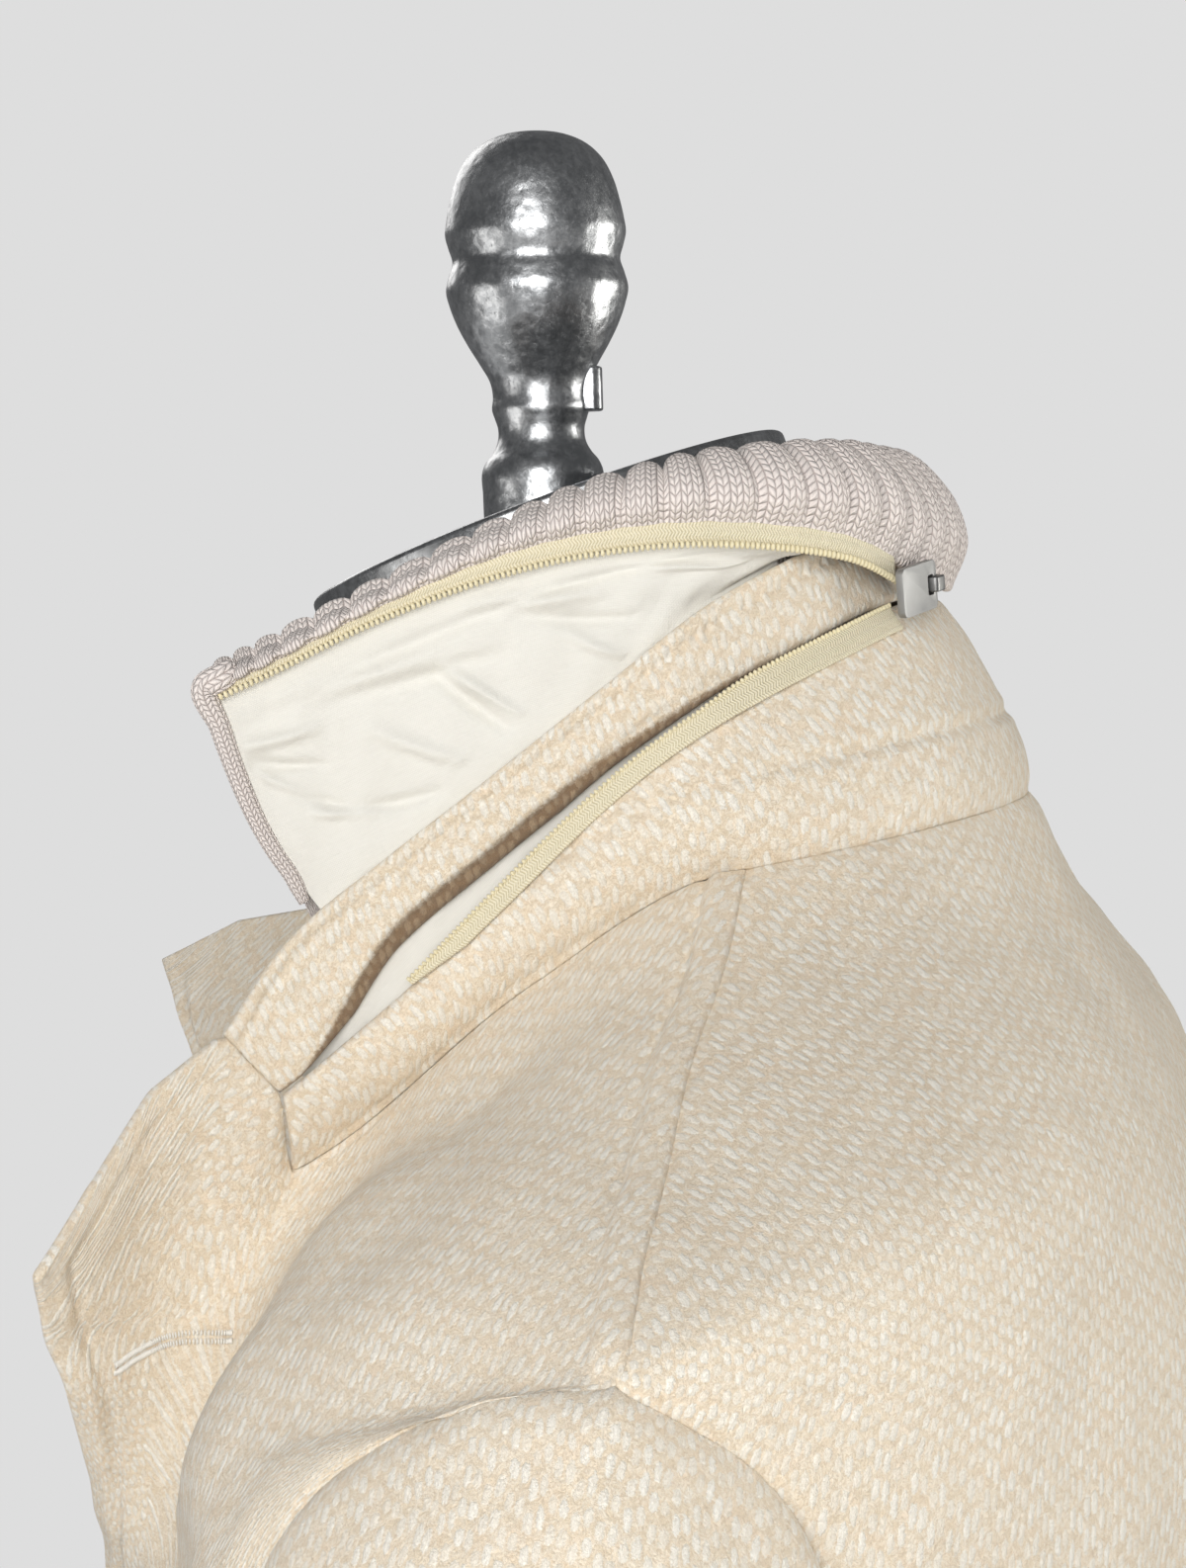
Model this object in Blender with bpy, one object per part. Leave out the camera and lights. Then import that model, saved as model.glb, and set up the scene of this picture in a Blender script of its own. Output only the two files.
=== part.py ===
"""Peacoat on a limbless dress form, with its collar turned up and a zipped knit cover over it.

World frame in metres: +Z up, the coat faces -Y, the wearer's left side is +X, and the origin is
on the floor under the middle of the base. The tables below are in millimetres, measured from the
neck point: the middle of the neck, level with the top of the shoulder seams.
"""
import math

import bmesh
import bpy
import numpy as np
from mathutils import Matrix, Vector

# ---------------------------------------------------------------------------- driving dimensions
NECK_HEIGHT = 1130.0          # neck point above the floor
WOOL = 3.0                    # double-faced wool cloth
LINING = 0.9                  # cotton lining of the cover and of the slit
KNIT = 3.0                    # knit between its ribs
GAP = 0.3                     # between two pieces that are sewn or lie together
LAY = 0.4                     # between a panel and what lies on it

# Rows of the coat, from the neck seam to the hem. cloth is how far down the cloth the row lies.
# side is where the row meets the shoulder seam, the armhole (its back edge) or the side seam,
# back the centre back, and lean the angle at which the row passes the side, outwards from straight
# ahead. full says how square the row is.
BACK_ROWS = (
    # name,    cloth, side x,   y,     z,  back y,   z,  lean, full
    ("neck",       0,    81,   13,     0,     73,  10.5,    0, 1.66),
    ("yoke_1",    26,   104,   12,   -17,     81,    -7,    0, 1.72),
    ("yoke_2",    56,   133,    9,   -33,     92,   -24,    0, 1.78),
    ("yoke_3",    90,   166,    8,   -48,    103,   -41,    2, 1.82),
    ("yoke_4",   122,   200,    8,   -63,    112,   -60,    8, 1.82),
    ("tip",      154,   230,    8,   -79,    119,   -85,   30, 1.80),
    ("cap",      171,   225,   20,   -87,    123,  -101,   33, 1.78),
    ("arm_1",    190,   216,   33,   -99,    126,  -118,   36, 1.76),
    ("arm_2",    228,   208,   47,  -138,    131,  -153,   40, 1.74),
    ("arm_3",    268,   199,   48,  -181,    133,  -190,   34, 1.76),
    ("arm_4",    304,   192,   34,  -217,    133,  -222,   18, 1.80),
    ("under",    336,   187,    6,  -237,    132,  -246,    0, 1.84),
    ("chest",    392,   184,    4,  -292,    128,  -298,    0, 1.84),
    ("waist",    516,   175,    4,  -415,    117,  -418,    0, 1.84),
    ("hip",      664,   187,    4,  -562,    126,  -562,    0, 1.84),
    ("hem",      844,   200,    4,  -742,    137,  -742,    0, 1.84),
)
# The same rows across a front: side is the armhole's front edge where that differs, chest the
# place where the row rounds the front of the shoulder, inner the roll of the lapel or the centre
# front, and edge the front edge of the panel.
LEFT_ROWS = (
    # side x, y, z,      chest x, y, z,      inner x, y, z,      edge x, y, z
    ((81, 13, 0), (81.5, -36, -25.5), (80, -93, -69), (124, -139, -85)),
    ((104, 12, -17), (103, -46, -47), (87, -99, -85), (121, -140, -93)),
    ((133, 9, -33), (126, -60, -62), (93, -105, -99), (116, -141, -101)),
    ((166, 8, -48), (147, -71, -78), (97, -110, -114), (109, -140, -111)),
    ((200, 8, -63), (164, -80, -92), (98, -115, -131), (100, -141, -122)),
    ((230, 8, -79), (176, -84, -107), (96, -119, -149), (89, -143, -137)),
    ((225, -17, -83), (180, -84, -114), (93.5, -121.5, -159), (80, -145, -147)),
    ((216, -45, -97), (183, -85, -123), (90, -124, -170), (70, -147, -157)),
    ((208, -69, -138), (184, -92, -151), (80, -129, -196), (44, -153, -183)),
    ((200, -69, -182), (177, -98, -190), (66, -134, -224), (10, -154, -214)),
    ((192, -50, -217), (171, -103, -226), (52, -138, -250), (-36, -150, -243)),
    ((187, 6, -237), (168, -98, -252), (42, -141, -272), (-84, -142, -270)),
    ((184, 4, -292), (164, -98, -302), (38, -142, -310), (-90, -141, -306)),
    ((175, 4, -415), (150, -94, -418), (34, -135, -420), (-90, -134, -418)),
    ((187, 4, -562), (158, -99, -562), (36, -141, -562), (-90, -140, -562)),
    ((200, 4, -742), (168, -106, -742), (40, -150, -742), (-90, -149, -742)),
)
# The right front, mirrored to the same side: it stands up further at the lapel, and from the
# chest down it lies under the left one.
RIGHT_ROWS = (
    ((81, 13, 0), (81.5, -36, -25.5), (80, -93, -69), (121, -188, -42)),
    ((104, 12, -17), (103, -46, -47), (87, -99, -85), (121, -185, -54)),
    ((133, 9, -33), (126, -60, -62), (93, -106, -98), (119, -180, -68)),
    ((166, 8, -48), (147, -71, -78), (97, -111, -112), (115, -174, -85)),
    ((200, 8, -63), (164, -80, -92), (98, -116, -128), (107, -168, -104)),
    ((230, 8, -79), (176, -84, -107), (96, -119, -146), (94, -163, -127)),
    ((225, -17, -83), (180, -84, -114), (93, -120.5, -157), (84, -160.5, -139)),
    ((216, -45, -97), (183, -85, -123), (90, -122, -168), (72, -158, -152)),
    ((208, -69, -138), (184, -92, -151), (78, -124, -195), (44, -152, -180)),
    ((200, -69, -182), (177, -98, -190), (62, -127, -224), (8, -144, -212)),
    ((192, -50, -217), (171, -103, -226), (48, -129, -250), (-32, -133, -244)),
    ((187, 6, -237), (168, -98, -252), (38, -132, -272), (-74, -125, -270)),
    ((184, 4, -292), (164, -98, -302), (34, -133, -310), (-78, -125, -306)),
    ((175, 4, -415), (150, -94, -418), (30, -126, -420), (-78, -118, -418)),
    ((187, 4, -562), (158, -99, -562), (32, -132, -562), (-78, -124, -562)),
    ((200, 4, -742), (168, -106, -742), (36, -141, -742), (-78, -132, -742)),
)
TIP_ROW, UNDER_ROW = 5, 11    # the armhole runs between these two rows
FRONT_LEAN = {"yoke_4": -10, "tip": -28}         # the front passes the seam's end leaning inwards

# The top of each front from the end of the neck seam: the gorge seam climbs to the notch, and the
# lapel's free edge runs on to its tip.
LEFT_TOP = ((80, -93, -69), (88, -93, -50), (95, -104, -35), (104, -117, -46), (114, -129, -66),
            (124, -139, -85))
RIGHT_TOP = ((80, -93, -69), (88, -93, -50), (95, -104, -35), (97, -128, -24), (109, -160, -29.5),
             (121, -188, -42))
TOP_PLACES = (0.70, 0.76, 0.82, 0.88, 0.94, 1.00)

# The collar at nine stations from the centre back to the front end. seam is the neck seam, slit
# the top of the under-collar, gape how far the slit stands open above it on the left, and edge
# the collar's edge.
COLLAR = (
    # name,     seam x,  y,    z,   slit x,   y,    z, gape,  edge x,    y,    z
    ("back",      0.0,  73,  10.5,     0.0,  51,  58.5,  0.6,    0.0,   40,  78.0),
    ("back_2",   38.0,  65,   9.5,    36.0,  45,  58.0,  0.6,   34.0,   36,  77.0),
    ("back_3",   65.0,  43,   6.5,    62.0,  31,  50.0,  1.5,   60.0,   27,  70.5),
    ("side",     81.0,  13,   0.0,    81.0,   8,  36.5,  3.0,   80.5,    5,  57.5),
    ("side_2",   83.0, -14,  -9.5,    85.0, -16,  19.0,  6.0,   86.0,  -18,  40.0),
    ("front_1",  82.0, -40, -29.5,    86.5, -42,  -5.0, 11.0,   88.0,  -42,  22.0),
    ("front_2",  82.0, -65, -51.0,    87.0, -63, -25.0, 13.0,   89.0,  -68,   3.0),
    ("front_3",  81.0, -84, -66.5,    87.5, -84, -43.0,  8.0,   92.0,  -89, -14.0),
    ("front",    80.0, -93, -69.0,    88.0, -93, -50.0,  0.6,   95.0, -104, -35.0),
)
# The knit cover at the same stations, open on the left and shut on the right. zip is the line of
# its zip teeth, tape the tape that shows above them, crest the height of its fold, wide the fold's
# width, and foot where its inner side ends, on the neck side of the collar.
COVER_OPEN = (
    # name,     zip x,    y,    z, tape, crest, wide,  foot x,  y,    z
    ("back",      0.0, 54.4, 60.0,  0.8,  94.0, 26.0,    0.0,   30,  44.0),
    ("back_2",   37.0, 48.2, 61.0,  4.6,  95.0, 24.0,   29.0,   27,  44.0),
    ("back_3",   62.0, 34.5, 69.0,  4.4,  95.5, 20.0,   51.0,   18,  42.0),
    ("side",     82.0,  8.0, 72.5,  4.2,  93.0, 16.0,   69.0,    2,  34.0),
    ("side_2",   87.0, -18,  71.0,  4.0,  87.0, 14.0,   74.0,  -18,  20.0),
    ("front_1",  89.0, -42,  66.0,  3.4,  77.0, 12.5,   76.0,  -38,   2.0),
    ("front_2",  90.5, -68,  57.0,  2.0,  64.5, 11.5,   76.5,  -57, -13.0),
    ("front_3",  93.0, -90,  47.0,  1.4,  53.5, 11.0,   77.0,  -72, -22.0),
    ("front",    95.0, -104, 41.0,  1.2,  47.0, 11.0,   77.5,  -81, -27.0),
)
COVER_SHUT = (
    ("back",      0.0, 54.4, 60.0,  0.8,  94.0, 26.0,    0.0,   30,  44.0),
    ("back_2",   38.0, 48.6, 59.6,  0.8,  93.0, 24.0,   29.0,   27,  42.0),
    ("back_3",   65.0, 33.5, 52.5,  0.8,  87.0, 20.0,   51.0,   18,  36.0),
    ("side",     86.0,  9.0, 38.5,  0.8,  75.0, 18.0,   69.0,    2,  24.0),
    ("side_2",   91.0, -16,  21.0,  0.8,  57.0, 17.5,   74.0,  -19,   8.0),
    ("front_1",  93.0, -42,  -3.0,  0.8,  39.0, 17.0,   76.0,  -42, -10.0),
    ("front_2",  94.5, -62, -22.5,  0.8,  20.0, 17.0,   76.0,  -63, -31.0),
    ("front_3",  96.5, -80, -38.5,  0.8,   4.0, 17.5,   76.5,  -79, -44.0),
    ("front",    98.5, -90, -46.5,  0.8,  -8.0, 18.0,   78.0,  -90, -52.0),
)
RIBS = 44                     # ribs round the whole cover
RIB_RISE = 1.5
SWELL = 4.2                   # the under-collar rounds outwards by this much
# Rows of the cover's lining: how far down from the zip (0) to the collar's edge (1) and behind it,
# and the station where the row ends at the slanting front edge; then the binding's rows.
LINING_ROWS = ((0.04, 0.99), (0.33, 0.94), (0.66, 0.885), (1.0, 0.83), (2.0, 0.81))
BINDING_ROWS = ((0.09, 0.981), (0.33, 0.94), (0.66, 0.885), (0.88, 0.849))
LINING_FROM = 0.275
BINDING, BINDING_OVER = 1.8, 1.0

ARM_TOP_PULL = 1.15           # how far the sleeve head carries on outwards before it falls
SLEEVE = (
    # name,    cloth,   z, centre x,  y, half x, half y, outer side higher by
    ("bicep",    150, -276,     234,   2,     43,     76,  16),
    ("upper",    230, -350,     238,  -2,     42,     73,   8),
    ("elbow",    320, -434,     242,  -8,     40,     69,   0),
    ("fore",     420, -532,     246, -20,     38,     64,   0),
    ("low",      520, -630,     249, -34,     36,     60,   0),
    ("cuff",     595, -704,     251, -44,     35,     57,   0),
)

# Dress form: rows of the torso, a little inside the coat and touching it nearly at the shoulders.
FORM_ROWS = (
    # name,   side x,   y,    z, back y,   z,  chest x,   y,    z, front y,   z, full
    ("neck_mid", 58, -26,   38,     19,   52,     42,  -64,  20,    -86,   8, 1.62),
    ("neck",     66,   0,    4,     46,   12,     60,  -46, -24,    -76, -46, 1.64),
    ("yoke_1",  100,  12,  -22,     73,  -12,     88,  -42, -52,    -80, -72, 1.68),
    ("yoke_2",  129,   9,  -38,     84,  -30,    110,  -52, -68,    -86, -92, 1.74),
    ("yoke_3",  162,   8,  -53,     93,  -49,    128,  -60, -86,    -94, -114, 1.76),
    ("yoke_4",  194,   8,  -69,    100,  -68,    142,  -66, -100,  -100, -136, 1.76),
    ("tip",     211,   8,  -90,    104,  -92,    149,  -69, -117,  -103, -158, 1.76),
    ("arm_1",   203,   8, -116,    110, -120,    153,  -74, -138,  -107, -180, 1.78),
    ("arm_2",   188,   7, -152,    112, -156,    148,  -78, -166,  -110, -204, 1.78),
    ("arm_4",   174,   6, -224,    113, -226,    140,  -84, -232,  -113, -254, 1.80),
    ("chest",   166,   4, -300,    108, -302,    134,  -82, -306,  -112, -314, 1.80),
    ("waist",   152,   4, -420,     94, -422,    122,  -74, -422,  -100, -422, 1.80),
    ("hip",     166,   4, -566,    106, -566,    134,  -80, -566,  -108, -566, 1.80),
    ("bottom",  162,   4, -655,    102, -655,    130,  -78, -655,  -105, -655, 1.80),
)
PLATE_AT, PLATE_TILT = (0, -45, 81), math.radians(18.7)   # middle of its top face
PLATE_RADIUS, PLATE_THICK = 62.0, 11.0
POLE_RADIUS, POLE_FOOT = 16.0, 28.0
BASE_RADIUS, BASE_THICK = 170.0, 14.0
FINIAL_SHIFT = -0.8           # the finial stands this far forward of the plate's middle
LUG_IN, LUG_OUT = 8.0, 15.6                      # key on the back of the finial's neck
LUG_LOW, LUG_HIGH = 26.0, 37.0
FINIAL = (
    # height above the plate, radius
    (-6, 14.8), (6, 15.0), (12.2, 14.9), (14.2, 14.0), (16.2, 12.4), (18.6, 11.1), (22.6, 10.8),
    (24.6, 11.4), (27, 12.1), (30, 11.8), (33.6, 12.3), (38, 14.6), (42.7, 17.4), (48, 20.1),
    (52.7, 21.8), (56.4, 22.6), (60, 21.8), (63.6, 20.8), (67, 21.7), (70, 22.4), (73.6, 22.0),
    (78, 21.1), (83, 19.7), (88, 17.2), (91.6, 13.6), (94, 8.6), (95, 0.0),
)
BUTTON = ((0, 3.0), (1.6, 3.0), (1.7, 12.6), (2.6, 14.0), (4.4, 14.0), (5.4, 12.8), (5.0, 10.6),
          (4.6, 9.6))
BUTTONS = ((0.6, 392), (0.6, 475), (0.6, 565), (0.94, 392), (0.94, 475), (0.94, 565))
POCKET_ACROSS, POCKET_DOWN = (0.39, 0.51), (470, 620)      # across the front, down the cloth
WELT_THICK = 2.4

# Zip: slider and pull tab, along, across and off the cloth
SLIDER_AT = 0.125                                # station of the slider along the collar
SLIDER_LONG, SLIDER_WIDE, SLIDER_THICK = 11.0, 7.4, 3.0
SLIDER_OFF, SLIDER_UP = 2.4, 3.6                 # from the slit: off the cloth, and upwards
TAB_LONG, TAB_WIDE, BAR = 19.0, 11.4, 1.8        # pull tab, as thick as its end bar
HINGE_BACK, HINGE_RISE = 2.4, 4.9                # end bar's middle, from the slider's middle
ARCH = ((-2.6, 2.4), (-2.6, 6.9), (-2.0, 7.5), (2.0, 7.5), (2.6, 6.9), (2.6, 2.4), (1.6, 2.4),
        (1.6, 6.3), (-1.6, 6.3), (-1.6, 2.4))    # bridge over the end bar: along the zip, off it
ARCH_WIDE = 3.6
WINDOW = ((BAR / 2, -2.3), (4.3, -2.3), (4.3, 2.3), (BAR / 2, 2.3))
TAPE_THICK, TAPE_FROM, TAPE_WIDE = 1.5, 0.165, 5.2


# ------------------------------------------------------------------------------------- geometry
def spline(knots, values, at, start=None, end=None):
    """Smooth curve through values at knots, read at the places given."""
    knots, values, at = np.asarray(knots, float), np.asarray(values, float), np.atleast_1d(at)
    slopes = np.gradient(values, knots, axis=0)
    if start is not None:
        slopes[0] = start
    if end is not None:
        slopes[-1] = end
    cell = np.clip(np.searchsorted(knots, at, side="right") - 1, 0, len(knots) - 2)
    width = knots[cell + 1] - knots[cell]
    extra = (1,) * (values.ndim - 1)
    t = ((at - knots[cell]) / width).reshape(-1, *extra)
    width = width.reshape(-1, *extra)
    return ((2 * t**3 - 3 * t**2 + 1) * values[cell] + (t**3 - 2 * t**2 + t) * width * slopes[cell]
            + (3 * t**2 - 2 * t**3) * values[cell + 1] + (t**3 - t**2) * width * slopes[cell + 1])


def unit(v):
    return v / np.maximum(np.linalg.norm(v, axis=-1, keepdims=True), 1e-9)


def heading(lean):
    """Direction in which a row passes the side, going forwards and slightly down."""
    a = math.radians(lean)
    return np.array([math.sin(a), -math.cos(a), -0.16])


def back_row(row, at):
    """Half of a back row: at runs from 0 at the centre back to 1 at the side."""
    _, _, x, y, z, back_y, back_z, lean, full = row
    ends = np.array([[0, back_y, back_z], [x, y, z]], float)
    return spline([0, 1], ends, at, start=np.array([full * x, 0, 0]),
                  end=full * (back_y - y) * heading(lean))


def front_row(row, knots, at):
    """A front row: at runs from 0 at the side to 1 at the front edge."""
    side, chest = np.array(knots[0], float), np.array(knots[1], float)
    start = 2.9 * np.linalg.norm(chest - side) * unit(heading(FRONT_LEAN.get(row[0], 0)))
    if TIP_ROW < BACK_ROWS.index(row) < UNDER_ROW:
        start = 3.0 * (chest - side) * np.array([0.6, 1.2, 1.0])
    return spline([0, 0.34, 0.7, 1], knots, at, start=start)


def levels():
    return [row[1] for row in BACK_ROWS]


def back_grid(across, down):
    """Back panel: across runs from -1 (right side) to 1 (left side), down along the cloth."""
    across = np.asarray(across, float)
    rows = []
    for row in BACK_ROWS:
        half = back_row(row, np.abs(across))
        half[:, 0] *= np.sign(across)
        rows.append(half)
    return spline(levels(), np.array(rows), down)


def front_grid(rows, across, down):
    """Front panel on the wearer's left: across from the side (0) to the front edge (1)."""
    table = np.array([front_row(row, knots, across) for row, knots in zip(BACK_ROWS, rows)])
    table[0] = top_edge(rows, across)
    return spline(levels(), table, down)


def top_edge(rows, across):
    """Neck seam, then the gorge seam up to the notch, then the lapel's free edge to its tip."""
    across = np.asarray(across, float)
    neck = front_row(BACK_ROWS[0], rows[0], across)
    knots = np.array(LEFT_TOP if rows is LEFT_ROWS else RIGHT_TOP, float)
    for axis in range(3):
        lapel = np.interp(across, TOP_PLACES, knots[:, axis])
        neck[:, axis] = np.where(across > TOP_PLACES[0], lapel, neck[:, axis])
    return neck


def armhole(side, steps):
    """The armhole seam on the wearer's left as a loop: tip, down the front, underarm, up the back."""
    down = down_steps(TIP_ROW, UNDER_ROW, steps)
    front = front_grid(side, np.array([0.0]), down)[:, 0]
    back = back_grid(np.array([1.0]), down)[:, 0]
    return np.concatenate([front, back[-2:0:-1]])


def down_steps(first, last, each):
    """Places along the cloth from one row to another, with so many steps between rows."""
    marks = levels()
    places = [marks[k] + (marks[k + 1] - marks[k]) * i / each
              for k in range(first, last) for i in range(each)]
    return np.array(places + [marks[last]])


def sleeve_grid(side, steps, down):
    """Sleeve on the wearer's left: rows from the armhole seam to the cuff, wrapped round."""
    loop = armhole(side, steps)
    count = len(loop)
    turn = np.linspace(0, 2 * math.pi, count, endpoint=False)
    rings = [np.stack([cx + hx * np.cos(turn), cy - hy * np.sin(turn), z + rise * np.cos(turn)], -1)
             for _, _, z, cx, cy, hx, hy, rise in SLEEVE]
    outward = (0.5 + 0.5 * np.cos(turn))[:, None]
    lead = unit(outward * np.array([1.0, 0, -0.62]) + (1 - outward) * np.array([0.6, 0, -0.8])
                + np.stack([0 * turn, -0.2 * np.sin(turn), 0 * turn], -1))
    reach = np.linalg.norm(rings[0] - loop, axis=-1, keepdims=True)
    marks = [0] + [row[1] for row in SLEEVE]
    table = np.array([loop] + rings)
    grid = spline(marks, table, down, start=lead * reach * ARM_TOP_PULL / marks[1] * 1.25)
    return grid


def table_curve(table, first, count=3):
    """Columns first.. of a table, as a smooth curve over its stations (0 to 1)."""
    values = np.array([row[first:first + count] for row in table], float)
    return np.linspace(0, 1, len(table)), values


def along(table, first, at, count=3):
    stations, values = table_curve(table, first, count)
    values = np.concatenate([values[:0:-1] * ([-1] + [1] * (count - 1)), values])
    return spline(np.concatenate([-stations[:0:-1], stations]), values, at)


def plan_normal(line):
    """Outward direction, level with the floor, beside a line that runs from right to left."""
    run = np.gradient(line, axis=0)
    return unit(np.stack([-run[:, 1], run[:, 0], 0 * run[:, 2]], -1))


def under_collar(at, up):
    """Under-collar: at runs from the right front end (-1) to the left (1), up from seam to slit."""
    seam, slit = neck_line(at), along(COLLAR, 4, at)
    out = plan_normal(seam)
    swell = SWELL * (1 - 0.75 * np.abs(at)**2)[:, None]
    return np.array([seam + (slit - seam) * v + out * swell * 4 * v * (1 - v) for v in up])


def neck_line(at):
    """The neck seam, on the same points as the top row of the back and the fronts."""
    left = np.abs(at)
    stations = np.linspace(0, 1, len(COLLAR))
    side = stations[3]
    back = back_row(BACK_ROWS[0], np.clip(left / side, 0, 1))
    front = front_row(BACK_ROWS[0], LEFT_ROWS[0], 0.7 * np.clip((left - side) / (1 - side), 0, 1))
    line = np.where((left <= side)[:, None], back, front)
    line[:, 0] *= np.where(at < 0, -1, 1)
    return line


def collar_leaf(at, up):
    """The strip of collar from the slit's upper lip to the collar's edge."""
    slit, edge = along(COLLAR, 4, at), along(COLLAR, 8, at)
    gape = slit_gape(at)[:, None]
    lip = slit + unit(edge - slit) * gape
    return np.array([lip + (edge - lip) * v for v in up])


def slit_gape(at):
    """The slit stands open on the left only, from the slider forwards."""
    _, values = table_curve(COLLAR, 7, 1)
    shut = values.min()
    return np.where(at > 0, spline(np.linspace(0, 1, len(COLLAR)), values[:, 0], np.abs(at)), shut)


def cover_tables(at):
    """Columns of the cover's tables along the collar: the open one on the left, else the shut one."""
    stations = np.linspace(0, 1, len(COLLAR))
    opened = np.array([row[1:] for row in COVER_OPEN], float)
    closed = np.array([row[1:] for row in COVER_SHUT], float)
    closed[:, [0, 6]] *= -1
    places = np.concatenate([-stations[:0:-1], stations])
    columns = spline(places, np.concatenate([closed[:0:-1], opened]), at)
    return columns[:, 0:3], columns[:, 3], columns[:, 4], columns[:, 5], columns[:, 6:9]


def cover_fold(at, steps):
    """Outer side of the knit cover: up from the zip tape, over the fold and down on the neck side."""
    teeth, tape_rise, crest, wide, foot = cover_tables(at)
    out = plan_normal(teeth)
    up = np.array([0, 0, 1.0])
    start = teeth + up * tape_rise[:, None]
    rise = (crest - RIB_RISE - start[:, 2])[:, None]
    wide = wide[:, None]
    lift = 0.10 + 0.08 * np.clip(np.abs(at) * 3, 0, 1)[:, None]
    knots = [start, start + out * wide * lift + up * rise * 0.40,
             start + out * wide * (lift - 0.16) + up * rise * 0.74,
             start - out * wide * 0.42 + up * rise,
             start - out * wide * 0.88 + up * rise * 0.68,
             start * 0.5 + foot * 0.5 - out * wide * 0.46 + up * rise * 0.1, foot]
    return spline([0, 0.2, 0.36, 0.52, 0.7, 0.86, 1.0], np.array(knots), steps)


def knit_depth(at):
    """The knit is thinner where the cover's fold is flat, towards its open front end."""
    teeth, tape_rise, crest, _, _ = cover_tables(at)
    rise = crest - RIB_RISE - teeth[:, 2] - tape_rise
    return KNIT * np.clip(rise / 13, 0.36, 1.0)


def rib_wave(place):
    """Height of the ribs: round, with narrow grooves between them."""
    return np.abs(np.cos(math.pi * place))


def form_ring(row, steps):
    """A ring round the form: back half from right to left, then the front half back to the right."""
    _, x, y, z, back_y, back_z, cx, cy, cz, front_y, front_z, full = row
    across = np.linspace(-1, 1, 2 * steps + 1)
    back = back_row((None, 0, x, y, z, back_y, back_z, 0, full), np.abs(across))
    back[:, 0] *= np.sign(across)
    across = across[-2:0:-1]
    knots = np.array([[x, y, z], [cx, cy, cz], [0, front_y, front_z]], float)
    start = full * (y - front_y) * np.array([0, -1, 0.5 * (cz - z) / max(y - cy, 1)])
    front = spline([0, 0.5, 1], knots, 1 - np.abs(across), start=start,
                   end=np.array([-full * x, 0, 0]))
    front[:, 0] *= np.sign(across)
    return np.concatenate([back, front])


def plate_ring(radius, below, steps):
    """A ring under the neck plate, in the plate's plane, starting at the right like form_ring."""
    turn = np.linspace(-math.pi / 2, 1.5 * math.pi, 4 * steps, endpoint=False)
    tilt_cos, tilt_sin = math.cos(PLATE_TILT), math.sin(PLATE_TILT)
    x, v = radius * np.sin(turn), radius * np.cos(turn)
    return np.stack([x, PLATE_AT[1] + v * tilt_cos + below * tilt_sin,
                     PLATE_AT[2] + v * tilt_sin - below * tilt_cos], -1)


# ------------------------------------------------------------------------------------- building
def clear_scene():
    for thing in list(bpy.data.objects):
        bpy.data.objects.remove(thing, do_unlink=True)


def material(name, colour, rough, metal=0.0):
    made = bpy.data.materials.get(name)
    if made is None:
        made = bpy.data.materials.new(name)
        made.use_nodes = True
        shader = made.node_tree.nodes["Principled BSDF"]
        shader.inputs["Base Color"].default_value = (*colour, 1.0)
        shader.inputs["Roughness"].default_value = rough
        shader.inputs["Metallic"].default_value = metal
    return made


def wool():
    return material("cream_wool", (0.80, 0.72, 0.60), 0.95)


def knit():
    return material("rib_knit", (0.68, 0.60, 0.57), 0.95)


def cotton():
    return material("white_cotton", (0.86, 0.84, 0.78), 0.9)


def tape():
    return material("zip_tape", (0.66, 0.58, 0.38), 0.8)


def chrome():
    return material("zip_metal", (0.62, 0.62, 0.62), 0.25, 1.0)


def horn():
    return material("button_horn", (0.62, 0.52, 0.38), 0.4)


def linen():
    return material("form_linen", (0.70, 0.67, 0.60), 0.9)


def cast_metal():
    return material("cast_metal", (0.33, 0.34, 0.35), 0.3, 1.0)


def world(points):
    """Table millimetres to world metres."""
    return (np.asarray(points, float) + np.array([0, 0, NECK_HEIGHT])) / 1000.0


def finish_mesh(bm, name, finish, sharp=50):
    bmesh.ops.recalc_face_normals(bm, faces=bm.faces[:])
    if bm.calc_volume(signed=True) < 0:
        bmesh.ops.reverse_faces(bm, faces=bm.faces[:])
    mesh = bpy.data.meshes.new(name)
    bm.to_mesh(mesh)
    bm.free()
    mesh.shade_smooth()
    mesh.set_sharp_from_angle(angle=math.radians(sharp))
    mesh.materials.append(finish)
    piece = bpy.data.objects.new(name, mesh)
    bpy.context.scene.collection.objects.link(piece)
    return piece


def facing(grid, wrap=False):
    """Normal at each point of a grid, to the right of going across and then down."""
    if wrap:
        ring = np.concatenate([grid[:, -1:], grid, grid[:, :1]], axis=1)
        across = (ring[:, 2:] - ring[:, :-2])
    else:
        across = np.gradient(grid, axis=1)
    down = np.gradient(grid, axis=0)
    return unit(np.cross(down, across))


def merge_normals(pieces):
    """Give points that grids share one common normal, so that their walls meet.

    Each piece is (group, grid, normal). A group counts once at a point, however many of its
    pieces meet there.
    """
    pool = {}
    for group, grid, normal in pieces:
        for point, direction in zip(grid.reshape(-1, 3), normal.reshape(-1, 3)):
            seen = pool.setdefault(tuple(np.round(point, 3)), {})
            seen[group] = seen.get(group, 0) + direction
    merged = []
    for _, grid, normal in pieces:
        flat = [unit(sum(unit(total) for total in pool[tuple(np.round(point, 3))].values()))
                for point in grid.reshape(-1, 3)]
        merged.append(np.array(flat).reshape(normal.shape))
    return merged


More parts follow.
